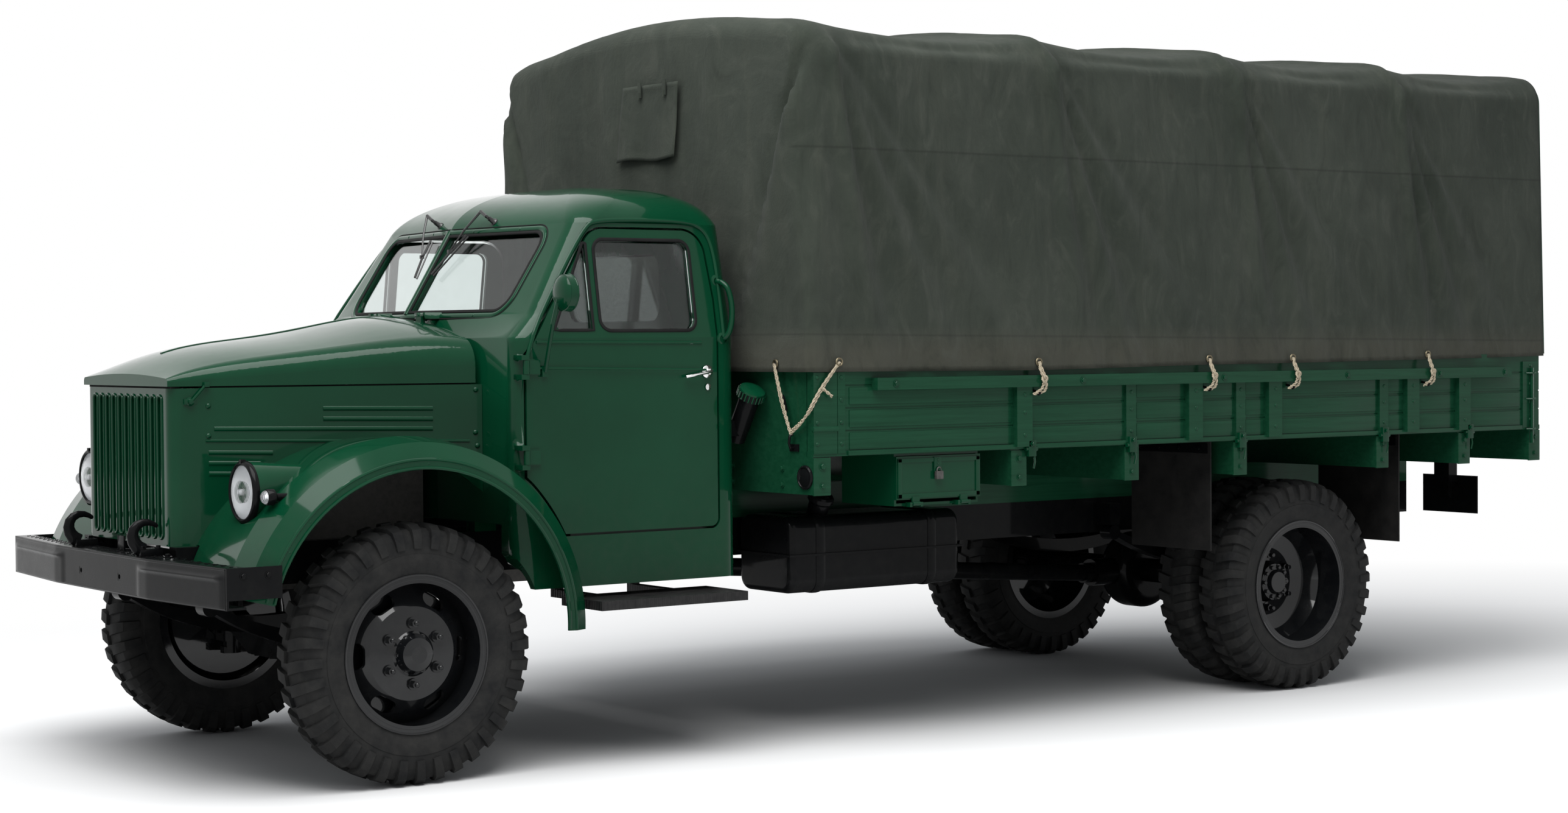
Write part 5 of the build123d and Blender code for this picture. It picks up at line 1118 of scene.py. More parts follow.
# Door lever from its pivot; rain gutter as (station, height); grab handle as (x, station, height)
LEVER = (
    (0.020, 0.006, 0.001), (0.024, -0.012, -0.002), (0.024, -0.052, -0.009), (0.021, -0.088, -0.015),
    (0.016, -0.106, -0.018),
)
GUTTER = (
    (476, 1.470), (500, 1.570), (640, 1.785), (772, 1.968), (822, 1.992), (1000, 1.999), (1200, 1.997),
    (1300, 1.980), (1338, 1.890), (1344, 1.700), (1342, 1.560),
)
GRAB_HANDLE = (
    (0.792, 1340.0, 1.772), (0.838, 1352.0, 1.768), (0.852, 1370.0, 1.690), (0.856, 1366.0, 1.610),
    (0.846, 1350.0, 1.556), (0.818, 1340.0, 1.553),
)
for side, sign in SIDES:
    seals = Shape()
    main = [(sign * (side_x(z) + 0.0015), y, z) for y, z in side_outline(0.800, 1.586, 1.224, 1.924, 0.044)]
    seals.tube(main, 0.0065, 8, closed=True, flat=0.55, up=(sign, 0, 0.17))
    ring = []
    for (ya, za), (yb, zb) in zip(QUARTER, QUARTER[1:] + QUARTER[:1]):
        ring += [(at(ya + (yb - ya) * k / 6), za + (zb - za) * k / 6) for k in range(6)]
    quarter = [(sign * (side_x(z) + 0.0015), y, z) for y, z in ring]
    seals.tube(quarter, 0.006, 8, closed=True, flat=0.55, up=(sign, 0, 0.17))
    seals.finish(f"door_window_seals_{side}", f"door_{side}", "flap_rubber", SEAL)

    trim = Shape()
    belt = [(sign * (side_x(1.545) + 0.002), at(y), 1.545 - 0.006 * (y - 500) / 800) for y in range(520, 1300, 60)]
    trim.tube(belt, 0.006, 8, flat=0.5, up=(sign, 0, 0))
    crease = [(sign * 0.845, at(y), 1.462 - 0.00002 * y) for y in range(486, 1306, 40)]
    trim.tube(crease, 0.0045, 8, flat=0.5, up=(sign, 0, 0))
    hinge = sided(sign, 0.832, 0.843)
    for z in (1.130, 1.455):
        for dz in (-0.018, 0.018):
            trim.rivet((sign * 0.8365, at(508.0), z + dz), (sign, 0, 0), 0.008)
        trim.box((hinge[0], at(474.0), z - 0.030), (hinge[1], at(530.0), z + 0.030), 0.003)
    trim.finish(f"door_trim_{side}", f"door_{side}", "green_paint", GREEN)

    handle = Shape()
    pivot = Vector((sign * 0.8375, at(1262.0), 1.430))
    boss = ((0.0, 0.024), (0.004, 0.024), (0.007, 0.020), (0.009, 0.012), (0.022, 0.011), (0.026, 0.0))
    handle.lathe(pivot, (sign, 0, 0), boss, 24)
    lever = [pivot + Vector((sign * x, y, z)) for x, y, z in LEVER]
    handle.tube(spline_points(lever, "lever"), 0.0085, 12, flat=0.75, up=(0, 0, 1))
    keyhole = ((0.0, 0.012), (0.003, 0.012), (0.005, 0.008), (0.005, 0.0))
    handle.lathe(pivot + Vector((0, 0.004, -0.058)), (sign, 0, 0), keyhole, 18)
    handle.finish(f"door_handle_{side}", f"door_{side}", "dark_plastic", CHROME)

    gutter = Shape()
    path = spline_points([(sign * (side_x(min(z, 1.985)) + 0.003), at(y), z) for y, z in GUTTER], "gutter")
    gutter.tube(path, 0.0085, 10, flat=0.8, up=(sign, 0, 0))
    grab = [(sign * x, at(y), z) for x, y, z in GRAB_HANDLE]
    gutter.tube(spline_points(grab, "grab"), 0.011, 12)
    for y, z, x in ((1340.0, 1.772, 0.792), (1340.0, 1.553, 0.830)):
        gutter.lathe((sign * (x - 0.004), at(y), z), (sign, 0, 0), ((0.0, 0.026), (0.005, 0.025), (0.010, 0.016)), 18)
    gutter.finish(f"cab_gutter_{side}", "chassis", "green_paint", GREEN)

# Wipers hang from the header: pivot, crank, arm and blade.
# Columns: pivot x, elbow x, arm end (x, z), blade top (x, z), blade foot (x, z)
WIPERS = (
    (0.250, 0.205, (0.098, 1.885), (0.142, 1.950), (0.052, 1.800)),
    (-0.150, -0.195, (-0.110, 1.870), (-0.128, 1.938), (-0.082, 1.792)),
)
wipers = Shape()


def off_glass(place, gap):
    x, z = place
    return Vector((x, windshield_y(x, z) - 0.85 * gap, z + 0.5 * gap))


for pivot_x, elbow_x, arm_end, blade_top, blade_foot in WIPERS:
    pivot = off_glass((pivot_x, 2.004), 0.0)
    way = Vector((0.0, -0.85, 0.5))
    elbow = pivot + way * 0.040 + Vector((elbow_x - pivot_x, 0.0, 0.022))
    wipers.lathe(
        pivot - way * 0.012, way, ((0.0, 0.016), (0.014, 0.015), (0.020, 0.010), (0.042, 0.008), (0.046, 0.0)), 16
    )
    wipers.tube([pivot + way * 0.034, pivot + way * 0.042, elbow], 0.0065, 8)
    reach = off_glass(arm_end, 0.020)
    wipers.tube([elbow, elbow.lerp(reach, 0.5) + way * 0.006, reach], (0.0052, 0.0042, 0.0032), 8)
    wipers.box(reach - Vector((0.007, 0.007, 0.007)), reach + Vector((0.007, 0.007, 0.007)), 0.002)
    top, foot = off_glass(blade_top, 0.014), off_glass(blade_foot, 0.014)
    wipers.tube([top, top.lerp(foot, 0.5) + way * 0.004, foot], 0.0048, 8)
    lip_top, lip_foot = off_glass(blade_top, 0.004), off_glass(blade_foot, 0.004)
    wipers.tube([lip_top, lip_top.lerp(lip_foot, 0.5), lip_foot], 0.0036, 6)
wipers.finish("wipers", "chassis", "dark_plastic", PLASTIC)

# Hood sides: pressed ribs, panel seam, screws and latches
fittings, latches, laces = Shape(), Shape(), Shape()


def bay_x(y):
    return 0.516 + 0.1864 * y / 1000.0


for sign in (1, -1):
    # Columns: rear end, front end, height at the rear, height at the front
    for rear_y, front_y, rear_z, front_z in (
        (244.0, -156.0, 1.307, 1.314),
        (244.0, -156.0, 1.269, 1.277),
        (243.0, -540.0, 1.234, 1.249),
        (-337.0, -560.0, 1.160, 1.166),
        (-380.0, -560.0, 1.124, 1.129),
        (-430.0, -560.0, 1.088, 1.092),
    ):
        path = []
        for k in range(25):
            u = k / 24
            y = rear_y + (front_y - rear_y) * u
            path.append((sign * (bay_x(y) - 0.001), at(y), rear_z + (front_z - rear_z) * u))
        fittings.tube(path, 0.0085, 10, flat=0.55, up=(sign, -0.18, 0))
    seam = [(sign * (bay_x(y) + 0.0005), at(y), 1.186 + 0.022 * (400.0 - y) / 950.0) for y in range(-570, 405, 25)]
    fittings.tube(seam, 0.0055, 8, flat=0.7, up=(sign, -0.18, 0))
    for y, z in ((405.0, 1.373), (403.0, 1.217), (410.0, 1.168), (-560.0, 1.225), (-560.0, 1.330)):
        fittings.rivet((sign * (bay_x(y) + 0.0005), at(y), z), (sign, -0.18, 0), 0.010)
    foot = Vector((sign * (bay_x(-624.0) + 0.001), at(-624.0), 1.346))
    tip = Vector((sign * (bay_x(-570.0) + 0.012), at(-570.0), 1.408))
    stud = ((-0.004, 0.016), (0.004, 0.016), (0.006, 0.010), (0.018, 0.010), (0.021, 0.0))
    latches.lathe(foot, (sign, 0, 0), stud, 18)
    latches.box(foot + Vector((-0.004, -0.022, -0.010)), foot + Vector((0.004, 0.030, 0.010)), 0.003)
    latches.tube([foot + Vector((sign * 0.014, 0, 0)), (foot + tip) / 2 + Vector((sign * 0.010, 0, 0)), tip], 0.0050, 8)
    latches.box(tip + Vector((-0.008, -0.010, -0.012)), tip + Vector((0.006, 0.010, 0.006)), 0.003)
    lace = [(sign * (bay_x(y) - 0.012), at(y), 1.3954) for y in range(-590, 405, 35)]
    laces.tube(lace, 0.0030, 8)
fittings.finish("hood_side_ribs", "chassis", "green_paint", GREEN)
latches.finish("hood_latches", "chassis", "green_paint", GREEN)
laces.box((-0.378, FRONT_AXLE_Y - 0.682, 1.3910), (0.378, FRONT_AXLE_Y - 0.650, 1.3984), 0.002)
laces.finish("hood_laces", "chassis", "black_paint", SEAL)

crease = Shape()
ridge = [meet("hood", (0.0, at(y), 2.2), (0, 0, -1)) for y in range(-560, 395, 35)]
crease.tube([place + Vector((0, 0, 0.0008)) for place in ridge if place], 0.007, 10, flat=0.45, up=(0, 0, 1))
crease.finish("hood_bead", "hood", "green_paint", GREEN)

# Grille: a thin rolled lip round each slot
grille = Shape()
SLOT_FACE = FRONT_AXLE_Y - 0.690
for k in range(-5, 6):
    middle = k * 0.059
    slot = rounded(-0.0185, -0.2515, 0.0185, 0.2515, 0.0184, 6)
    grille.tube([(middle + x, SLOT_FACE - 0.001, 1.116 + z) for x, z in slot], 0.0045, 8, closed=True)
grille.finish("grille_lips", "chassis", "green_paint", GREEN)

# Headlamps: black rim, bright bowl and domed lens; side lamps with a clear cap on a black boot
LAMP_RIM = (
    (0.0, 0.106), (0.004, 0.108), (0.012, 0.108), (0.019, 0.1055), (0.0235, 0.100), (0.024, 0.096), (0.021, 0.0925),
    (0.015, 0.0915), (0.006, 0.0915),
)
SIDE_LAMP_BOOT = (
    (-0.045, 0.012), (-0.030, 0.013), (-0.022, 0.024), (-0.018, 0.028), (0.004, 0.028), (0.008, 0.026), (0.008, 0.020),
)
SIDE_LAMP_LENS = ((0.006, 0.0235), (0.013, 0.0230), (0.019, 0.0195), (0.024, 0.013), (0.0265, 0.006), (0.027, 0.0))
rims, bowls, lenses = Shape(), Shape(), Shape()
for sign in (1, -1):
    centre = Vector((sign * LAMP.x, LAMP.y, LAMP.z))
    rims.lathe(centre, (0, -1, 0), LAMP_RIM, 56)
    rims.box(centre + Vector((-0.009, -0.026, 0.098)), centre + Vector((0.009, -0.006, 0.112)), 0.003)
    bowl = [(0.012 - 0.014 * (1 - (r / 0.0915) ** 2), r) for r in (0.080, 0.065, 0.048, 0.030, 0.014)]
    bowls.lathe(centre, (0, -1, 0), [(0.012, 0.0915)] + bowl + [(-0.002, 0.0)], 48)
    bowls.lathe(centre, (0, -1, 0), ((0.000, 0.011), (0.012, 0.010), (0.018, 0.006), (0.020, 0.0)), 20)
    dome = [(0.016 + 0.026 * (1 - (r / 0.092) ** 2), r) for r in (0.092, 0.086, 0.076, 0.062, 0.046, 0.028, 0.012)]
    lenses.lathe(centre, (0, -1, 0), dome + [(0.042, 0.0)], 48)
    small = Vector((sign * SIDE_LAMP.x, SIDE_LAMP.y, SIDE_LAMP.z))
    rims.lathe(small, (0, -1, 0), SIDE_LAMP_BOOT, 28)
    lead = ((0.040, 0.0), (0.070, 0.0), (0.095, -0.004))
    rims.tube([small + Vector((0, y, z)) for y, z in lead], 0.012, 12)
    bowls.lathe(small, (0, -1, 0), ((0.002, 0.022), (0.003, 0.010), (0.010, 0.006), (0.012, 0.0)), 20)
    lenses.lathe(small, (0, -1, 0), SIDE_LAMP_LENS, 28)
rims = rims.finish("lamp_rims", "chassis", "black_paint", BLACK)
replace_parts(rims, "headlamps")
bowls.finish("lamp_bowls", "chassis", "lamp_lens", REFLECTOR)
lenses.finish("lamp_lenses", "chassis", "lamp_lens", LENS)

# Fender edges: two rolled beads and rivets along the inner flange
for side, sign in SIDES:
    bead = Shape()
    for radius, size, inward in ((ARCH_RADIUS + 0.004, 0.006, 0.0), (ARCH_RADIUS + 0.033, 0.0055, 0.0015)):
        turns = [radians(-1.5 + 167.0 * k / 90) for k in range(91)]
        edge = [(ARCH_Y + radius * cos(turn), ARCH_Z + radius * sin(turn)) for turn in turns]
        bead.tube([(sign * (FENDER_X + 0.001 - inward), y, z) for y, z in edge], size, 10)
    for angle in range(40, 150, 12):
        y = ARCH_Y + (ARCH_RADIUS + 0.018) * cos(radians(angle))
        z = ARCH_Z + (ARCH_RADIUS + 0.018) * sin(radians(angle))
        bead.rivet((sign * (FENDER_X - 0.001), y, z), (sign, 0, 0), 0.004)
    bead.finish(f"fender_bead_{side}", "chassis", "green_paint", GREEN)

# Bumper: rolled edges, pressed end sections with a bead, bolts and a small bracket under the grille
BUMPER_LOW, BUMPER_HIGH = 0.668, 0.808


def bumper_y(x):
    return FRONT_END_Y + 0.046 * max(0.0, (abs(x) - 0.430) / (0.980 - 0.430))


def press(value, low, high, ramp):
    return smooth(value, low, low + ramp) * (1.0 - smooth(value, high - ramp, high))


bumper = Shape()
for z in (BUMPER_HIGH - 0.006, BUMPER_LOW + 0.006):
    bumper.tube([(x / 100.0, bumper_y(x / 100.0) + 0.005, z) for x in range(-97, 98, 2)], 0.0068, 10)
grid = []
COLUMNS, ROWS = 150, 24
for i in range(COLUMNS + 1):
    x = -0.972 + 1.944 * i / COLUMNS
    column = []
    for j in range(ROWS + 1):
        z = BUMPER_LOW + 0.006 + (BUMPER_HIGH - BUMPER_LOW - 0.012) * j / ROWS
        ends = press(abs(x), 0.335, 0.972, 0.030)
        rise = 0.0036 * ends * press(z, BUMPER_LOW - 0.004, 0.790, 0.014)
        rise += 0.0060 * press(abs(x), 0.350, 0.965, 0.050) * press(z, 0.760, 0.784, 0.011)
        column.append(bumper.mesh.verts.new((x, bumper_y(x) - 0.0008 - rise, z)))
    grid.append(column)
for i in range(COLUMNS):
    for j in range(ROWS):
        middle = (grid[i][j].co + grid[i + 1][j + 1].co) / 2
        if abs(abs(middle.x) - 0.180) > 0.014 or abs(middle.z - 0.730) > 0.012:
            bumper.mesh.faces.new((grid[i][j], grid[i + 1][j], grid[i + 1][j + 1], grid[i][j + 1]))
for sign in (1, -1):
    for y in (0.060, 0.150):
        bumper.bolt((sign * 0.979, FRONT_END_Y + 0.046 + y, 0.780), (sign, 0, 0), 0.016, 0.007)
    for y in (0.090, 0.165):
        bumper.bolt((sign * 0.395, FRONT_END_Y + y, BUMPER_HIGH), (0, 0, 1), 0.018, 0.009)
bumper.box((-0.030, FRONT_END_Y + 0.078, BUMPER_HIGH - 0.002), (0.030, FRONT_END_Y + 0.086, 0.862), 0.004)
bumper.box((-0.030, FRONT_END_Y + 0.078, BUMPER_HIGH - 0.002), (0.030, FRONT_END_Y + 0.110, BUMPER_HIGH + 0.006), 0.003)
bumper.finish("bumper_pressings", "chassis", "black_paint", BLACK)

# Tow hooks: a thick neck that tapers round to a blunt tip, on a block with two bolts and a strap behind
tow = Shape()
HOOK_Y, HOOK_Z = FRONT_END_Y + 0.044, BUMPER_HIGH + 0.072
# Columns: angle round the hook from the rear, distance from its middle, half thickness
HOOK_FORM = (
    (262.0, 0.052, 0.027), (236.0, 0.046, 0.025), (208.0, 0.043, 0.023), (180.0, 0.0425, 0.0210),
    (152.0, 0.043, 0.0190), (124.0, 0.044, 0.0165), (96.0, 0.0455, 0.0140), (70.0, 0.048, 0.0115),
    (48.0, 0.052, 0.0092), (34.0, 0.056, 0.0078), (30.0, 0.058, 0.0045),
)
for sign in (1, -1):
    x = sign * 0.300
    path = [
        (x, HOOK_Y + distance * cos(radians(angle)), HOOK_Z + distance * sin(radians(angle)))
        for angle, distance, size in HOOK_FORM
    ]
    tow.tube(path, [size for angle, distance, size in HOOK_FORM], 14, flat=0.72, up=(1, 0, 0))
    tow.box((x - 0.026, HOOK_Y - 0.024, BUMPER_HIGH - 0.001), (x + 0.026, HOOK_Y + 0.060, BUMPER_HIGH + 0.026), 0.005)
    tow.box((x - 0.018, HOOK_Y + 0.050, BUMPER_HIGH), (x + 0.018, HOOK_Y + 0.062, BUMPER_HIGH + 0.016), 0.003)
    for y in (-0.012, 0.046):
        tow.bolt((x + sign * 0.014, HOOK_Y + y, BUMPER_HIGH + 0.026), (0, 0, 1), 0.016, 0.009)
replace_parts(tow.finish("tow_hook_forms", "chassis", "black_paint", BLACK), "tow_hooks")

# Diamond-plate deck on the bumper, made of small raised bars
deck = Shape()
for i in range(-34, 35):
    for j in range(4):
        x = i * 0.0275
        y = bumper_y(x) + 0.042 + j * 0.030 + (0.015 if i % 2 else 0.0)
        if y > FRONT_AXLE_Y - 0.705:
            continue
        lean = radians(45.0 if i % 2 else -45.0)
        along = Vector((cos(lean), sin(lean), 0.0)) * 0.0105
        middle = Vector((x, y, BUMPER_HIGH + 0.0004))
        bar = [middle - along, middle - along * 0.4, middle + along * 0.4, middle + along]
        deck.tube(bar, 0.0034, 6, flat=0.5, up=(0, 0, 1))
deck.finish("deck_tread", "chassis", "black_paint", BLACK)

# Load bed: plank edges, strap bolts, hinge pins and post straps
# Columns: station from the front axle, depth of the batten it sits on, width
BATTENS = (
    (2560.0, 0.026, 0.080),
    (3148.0, 0.014, 0.056),
    (3506.0, 0.026, 0.080),
    (3783.0, 0.014, 0.056),
    (3981.0, 0.026, 0.080),
    (4682.0, 0.014, 0.056),
    (4864.0, 0.026, 0.080),
    (5215.0, 0.026, 0.080),
)
PLANK_PITCH, PANEL_HEIGHT = 0.0855, 0.0655
STRAPS = (2600.0, 3148.0, 3783.0, 4682.0, 5255.0)
BEARERS = (2545.0, 3157.0, 3787.0, 4681.0, 5233.0)
REFLECTOR_FORM = (
    (0.0, 0.046), (0.006, 0.046), (0.010, 0.042), (0.010, 0.038), (0.007, 0.036), (0.012, 0.022), (0.014, 0.0)
)
bed, bed_iron, reflectors = Shape(), Shape(), Shape()
ends = [1690.0] + [station for station, depth, width in BATTENS] + [5640.0]
for sign in (1, -1):
    # Raised panels on the planks between the battens
    for k, (start, stop) in enumerate(zip(ends, ends[1:])):
        first = start + (BATTENS[k - 1][2] * 500.0 if k else 0.0) + 12.0
        last = stop - (BATTENS[k][2] * 500.0 if k < len(BATTENS) else 0.0) - 12.0
        x = sided(sign, BED_HALF - 0.001, BED_HALF + 0.0035)
        for row in range(3):
            low = BOARD_BOTTOM + PLANK_PITCH * row + 0.012
            bed.box((x[0], at(first), low), (x[1], at(last), low + PANEL_HEIGHT), 0.003)
    strip = sided(sign, BED_HALF + 0.002, BED_HALF + 0.012)
    bed.box((strip[0], at(1690.0), BOARD_BOTTOM - 0.008), (strip[1], at(5640.0), BOARD_BOTTOM + 0.010), 0.003)
    for station, depth, width in BATTENS:
        for z in (1.165, 1.255, 1.325):
            bed.rivet((sign * (BED_HALF + depth), at(station), z), (sign, 0, 0), 0.008)
    for station, depth in ((1662.0, 0.006), (1547.0, 0.008), (5700.0, 0.008)):
        for z in (1.155, 1.235, 1.320, 1.405):
            bed.rivet((sign * (BED_HALF + depth), at(station), z), (sign, 0, 0), 0.0085)
    rib = [(sign * (BED_HALF + 0.010), at(y), 1.212) for y in (1526.0, 1560.0, 1600.0, 1642.0)]
    bed.tube(rib, 0.010, 8, flat=0.5, up=(sign, 0, 0))
    # Bearer end plates with a bolt, and the hinge pin that hangs below each strap
    for station in BEARERS + (1570.0, 5732.0):
        x = sided(sign, BED_HALF - 0.002, BED_HALF + 0.006)
        bed.box((x[0], at(station - 40.0), 0.962), (x[1], at(station + 40.0), 1.104), 0.003)
        bed.bolt((sign * (BED_HALF + 0.005), at(station), 1.072), (sign, 0, 0), 0.020, 0.010)
        bed.bolt((sign * (BED_HALF + 0.005), at(station), 0.998), (sign, 0, 0), 0.016, 0.008)
    for station in STRAPS:
        foot = Vector((sign * (BED_HALF + 0.016), at(station), 1.108))
        bed_iron.box(foot + Vector((-0.010, -0.020, -0.030)), foot + Vector((0.010, 0.020, 0.035)), 0.003)
        bed_iron.tube([foot + Vector((0, y, 0.0)) for y in (-0.030, 0.0, 0.030)], 0.009, 10)
        bed_iron.bolt(foot + Vector((sign * 0.010, 0.0, 0.020)), (sign, 0, 0), 0.015, 0.008)
        pin = ((0.004, 0.012, -0.02), (0.008, 0.014, -0.05), (0.004, 0.010, -0.078))
        bed_iron.tube([foot + Vector((sign * x, y, z)) for x, y, z in pin], 0.0035, 8)
    # Rear post: latch rod and its guides
    rod = Vector((sign * (BED_HALF + 0.018), at(5700.0), 0.0))
    bed_iron.tube([rod + Vector((0, 0, z)) for z in (1.045, 1.15, 1.28, 1.395)], 0.008, 10)
    for z in (1.110, 1.250, 1.370):
        guide = ((-0.012, -0.024), (0.010, -0.012), (0.010, 0.012), (-0.012, 0.024))
        bed_iron.tube([rod + Vector((sign * x, y, z)) for x, y in guide], 0.005, 8)
    for station in (1900.0, 2860.0, 3660.0, 4420.0, 5030.0, 5480.0):
        bed_iron.bolt((sign * RAIL_X, at(station), 1.378), (sign, 0, 0), 0.018, 0.006)
    # Dark reflector on the front bearer's end
    disc = Vector((sign * 1.098, BED_FRONT_Y - 0.001, 1.030))
    reflectors.lathe(disc, (0, -1, 0), REFLECTOR_FORM, 32)
for x in (-0.95, -0.62, -0.3, 0.3, 0.62, 0.95):
    for z in (1.060, 1.000):
        bed.bolt((x, BED_FRONT_Y, z), (0, -1, 0), 0.016, 0.008)
bed.finish("bed_boards_trim", "chassis", "green_wood", BOARDS)
bed_iron.finish("bed_ironwork", "chassis", "green_paint", GREEN)
reflectors.finish("bed_reflectors", "chassis", "black_paint", BLACK)

gate = Shape()
for x in (-0.98, -0.5, 0.5, 0.98):
    for z in (1.165, 1.255, 1.345, 1.42):
        gate.rivet((x, BED_REAR_Y, z), (0, 1, 0), 0.008)
for x in (-0.8, 0.0, 0.8):
    for z in (1.18, 1.26, 1.32):
        gate.bolt((x, BED_REAR_Y + 0.012, z), (0, 1, 0), 0.016, 0.008)
gate.finish("gate_bolts", "tailgate", "green_wood", BOARDS)

# Tool box lid: frame strips, hasp, staple and a small padlock
lid = Shape()
LID_FACE = 1.128
# Columns: front and rear station of a strip, its lower and upper edge
for front, rear, low, high in (
    (1945.0, 2355.0, 0.934, 0.952),
    (1945.0, 2355.0, 1.072, 1.088),
    (1945.0, 1965.0, 0.934, 1.088),
    (2335.0, 2355.0, 0.934, 1.088),
):
    lid.box((LID_FACE - 0.001, at(front), low), (LID_FACE + 0.005, at(rear), high), 0.002)
lid.box((LID_FACE + 0.001, at(2122.0), 1.030), (LID_FACE + 0.0075, at(2158.0), 1.090), 0.002)
for z in (1.080, 1.066):
    lid.rivet((LID_FACE + 0.0075, at(2140.0), z), (1, 0, 0), 0.005)
staple = ((0.0, 2134.0), (0.016, 2136.0), (0.016, 2146.0), (0.0, 2148.0))
lid.tube([(LID_FACE + x, at(y), 1.042) for x, y in staple], 0.003, 8)
lid.finish("toolbox_strips", "toolbox_lid", "green_paint", GREEN)
lock = Shape()
turns = [radians(180.0 * k / 10) for k in range(11)]
shackle = [(LID_FACE + 0.013, at(2135.0) + 0.010 * cos(a) + 0.006, 1.036 + 0.014 * sin(a)) for a in turns]
lock.tube(shackle, 0.0028, 8)
lock.box((LID_FACE + 0.005, at(2124.0), 1.004), (LID_FACE + 0.021, at(2158.0), 1.036), 0.004)
lock.finish("toolbox_lock", "toolbox_lid", "dark_plastic", IRON)

# Fuel tank: straps and cap; ribbed cap of the filler behind the cab
tank = Shape()
for y in (-0.700, -0.140):
    band = [(x, y, z) for x, z in rounded(0.4685, 0.5585, 0.8215, 0.8615, 0.056, 8)]
    tank.tube(band, 0.0034, 10, closed=True, flat=6.5, up=(0, 1, 0))
cap = Vector((0.730, -0.645, 0.880))
lean = Vector((sin(radians(25.0)), 0.0, cos(radians(25.0))))
cap_form = ((0.0, 0.044), (0.010, 0.052), (0.026, 0.052), (0.034, 0.046), (0.038, 0.030), (0.038, 0.0))
tank.lathe(cap + lean * 0.030, lean, cap_form, 30)
grip = cap + lean * 0.068
tank.tube([grip + Vector((-0.040, 0.0, 0.016)), cap + lean * 0.078, grip + Vector((0.034, 0.0, -0.017))], 0.007, 8)
tank.finish("tank_fittings", "chassis", "black_paint", BLACK)

filler = Shape()
base = Vector((CAB_HALF - 0.060, CAB_REAR_Y + 0.058, 1.250))
lean = Vector((sin(radians(32.0)), 0.0, cos(radians(32.0))))
side_way = Vector((0.0, 1.0, 0.0))
other_way = lean.cross(side_way)
for k in range(22):
    angle = 2.0 * pi * k / 22
    out = side_way * cos(angle) + other_way * sin(angle)
    filler.tube([base + lean * (0.095 + 0.009 * j) + out * 0.0525 for j in range(4)], 0.0038, 6)
cap_form = ((0.0, 0.052), (0.006, 0.050), (0.010, 0.040), (0.012, 0.018), (0.012, 0.0))
filler.lathe(base + lean * 0.123, lean, cap_form, 30)
filler.finish("filler_cap", "chassis", "green_paint", GREEN)

# Mud flaps: stiffening bars and bolts
FLAP_X, FLAP_BAR_Z = 0.83, 1.075
flaps = Shape()
for sign in (1, -1):
    for station in (3690.0, 4880.0):
        for way in (-1, 1):
            x, y = sign * FLAP_X, at(station) + way * 0.004
            low = (x - 0.225, y - 0.005, FLAP_BAR_Z - 0.022)
            flaps.box(low, (x + 0.225, y + 0.005, FLAP_BAR_Z + 0.022), 0.002)
            for across in (-0.18, -0.06, 0.06, 0.18):
                flaps.bolt((x + across, y + way * 0.005, FLAP_BAR_Z), (0, way, 0), 0.016, 0.007)
flaps.finish("flap_bars", "chassis", "black_paint", BLACK)

# Seat: cushion and backrest blown up by cloth pressure, with sewn channels pressed in afterwards


def blow_up(name, low, high, cap):
    """A padded form: rounded block, fine remesh, cloth under pressure with its travel capped."""
    block = bmesh.new()
    made = bmesh.ops.create_cube(block, size=1.0)["verts"]
    bmesh.ops.scale(block, vec=high - low, verts=made)
    bmesh.ops.translate(block, vec=(high + low) / 2, verts=made)
    bmesh.ops.bevel(block, geom=block.edges[:], offset=0.024, segments=4, affect="EDGES", profile=0.6)
    data = bpy.data.meshes.new(name)
    block.to_mesh(data)
    block.free()
    pad = bpy.data.objects.new(name, data)
    bpy.context.collection.objects.link(pad)
    remesh = pad.modifiers.new("remesh", "REMESH")
    remesh.mode = "VOXEL"
    remesh.voxel_size = 0.010
    depsgraph = bpy.context.evaluated_depsgraph_get()
    fine = bpy.data.meshes.new_from_object(pad.evaluated_get(depsgraph))
    pad.modifiers.clear()
    pad.data = fine
    start = [vertex.co.copy() for vertex in fine.vertices]
    cloth = pad.modifiers.new("cloth", "CLOTH")
    settings = cloth.settings
    settings.use_pressure = True
    settings.uniform_pressure_force = 4.0
    settings.tension_stiffness = 18.0
    settings.compression_stiffness = 18.0
    settings.effector_weights.gravity = 0.0
    cloth.collision_settings.use_collision = False
    scene = bpy.context.scene
    for step in range(1, 21):
        scene.frame_set(step)
    depsgraph = bpy.context.evaluated_depsgraph_get()
    blown = bpy.data.meshes.new_from_object(pad.evaluated_get(depsgraph))
    for vertex, before in zip(blown.vertices, start):
        move = vertex.co - before
        if move.length > cap:
            vertex.co = before + move * (cap / move.length)
    pad.modifiers.clear()
    pad.data = blown
    scene.frame_set(1)
    return pad


def sew(pad, low, high, face, spacing):
    """Presses sewn channels into the side of a pad that faces one way."""
    for vertex in pad.data.vertices:
        inside = min(max(0.0, vertex.co.x - low.x), max(0.0, high.x - vertex.co.x))
        if vertex.normal.dot(face) > 0.5 and inside > 0.06:
            away = abs((vertex.co.x / spacing) % 1.0 - 0.5) * spacing
            vertex.co -= face * (0.009 * exp(-((away / 0.010) ** 2)))


def finish_pad(pad, slot_look):
    pad.data.materials.clear()
    pad.data.materials.append(slot_look)
    for face in pad.data.polygons:
        face.use_smooth = True
    smoother = pad.modifiers.new("smooth", "SUBSURF")
    smoother.levels = smoother.render_levels = 1
    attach(pad, "chassis")


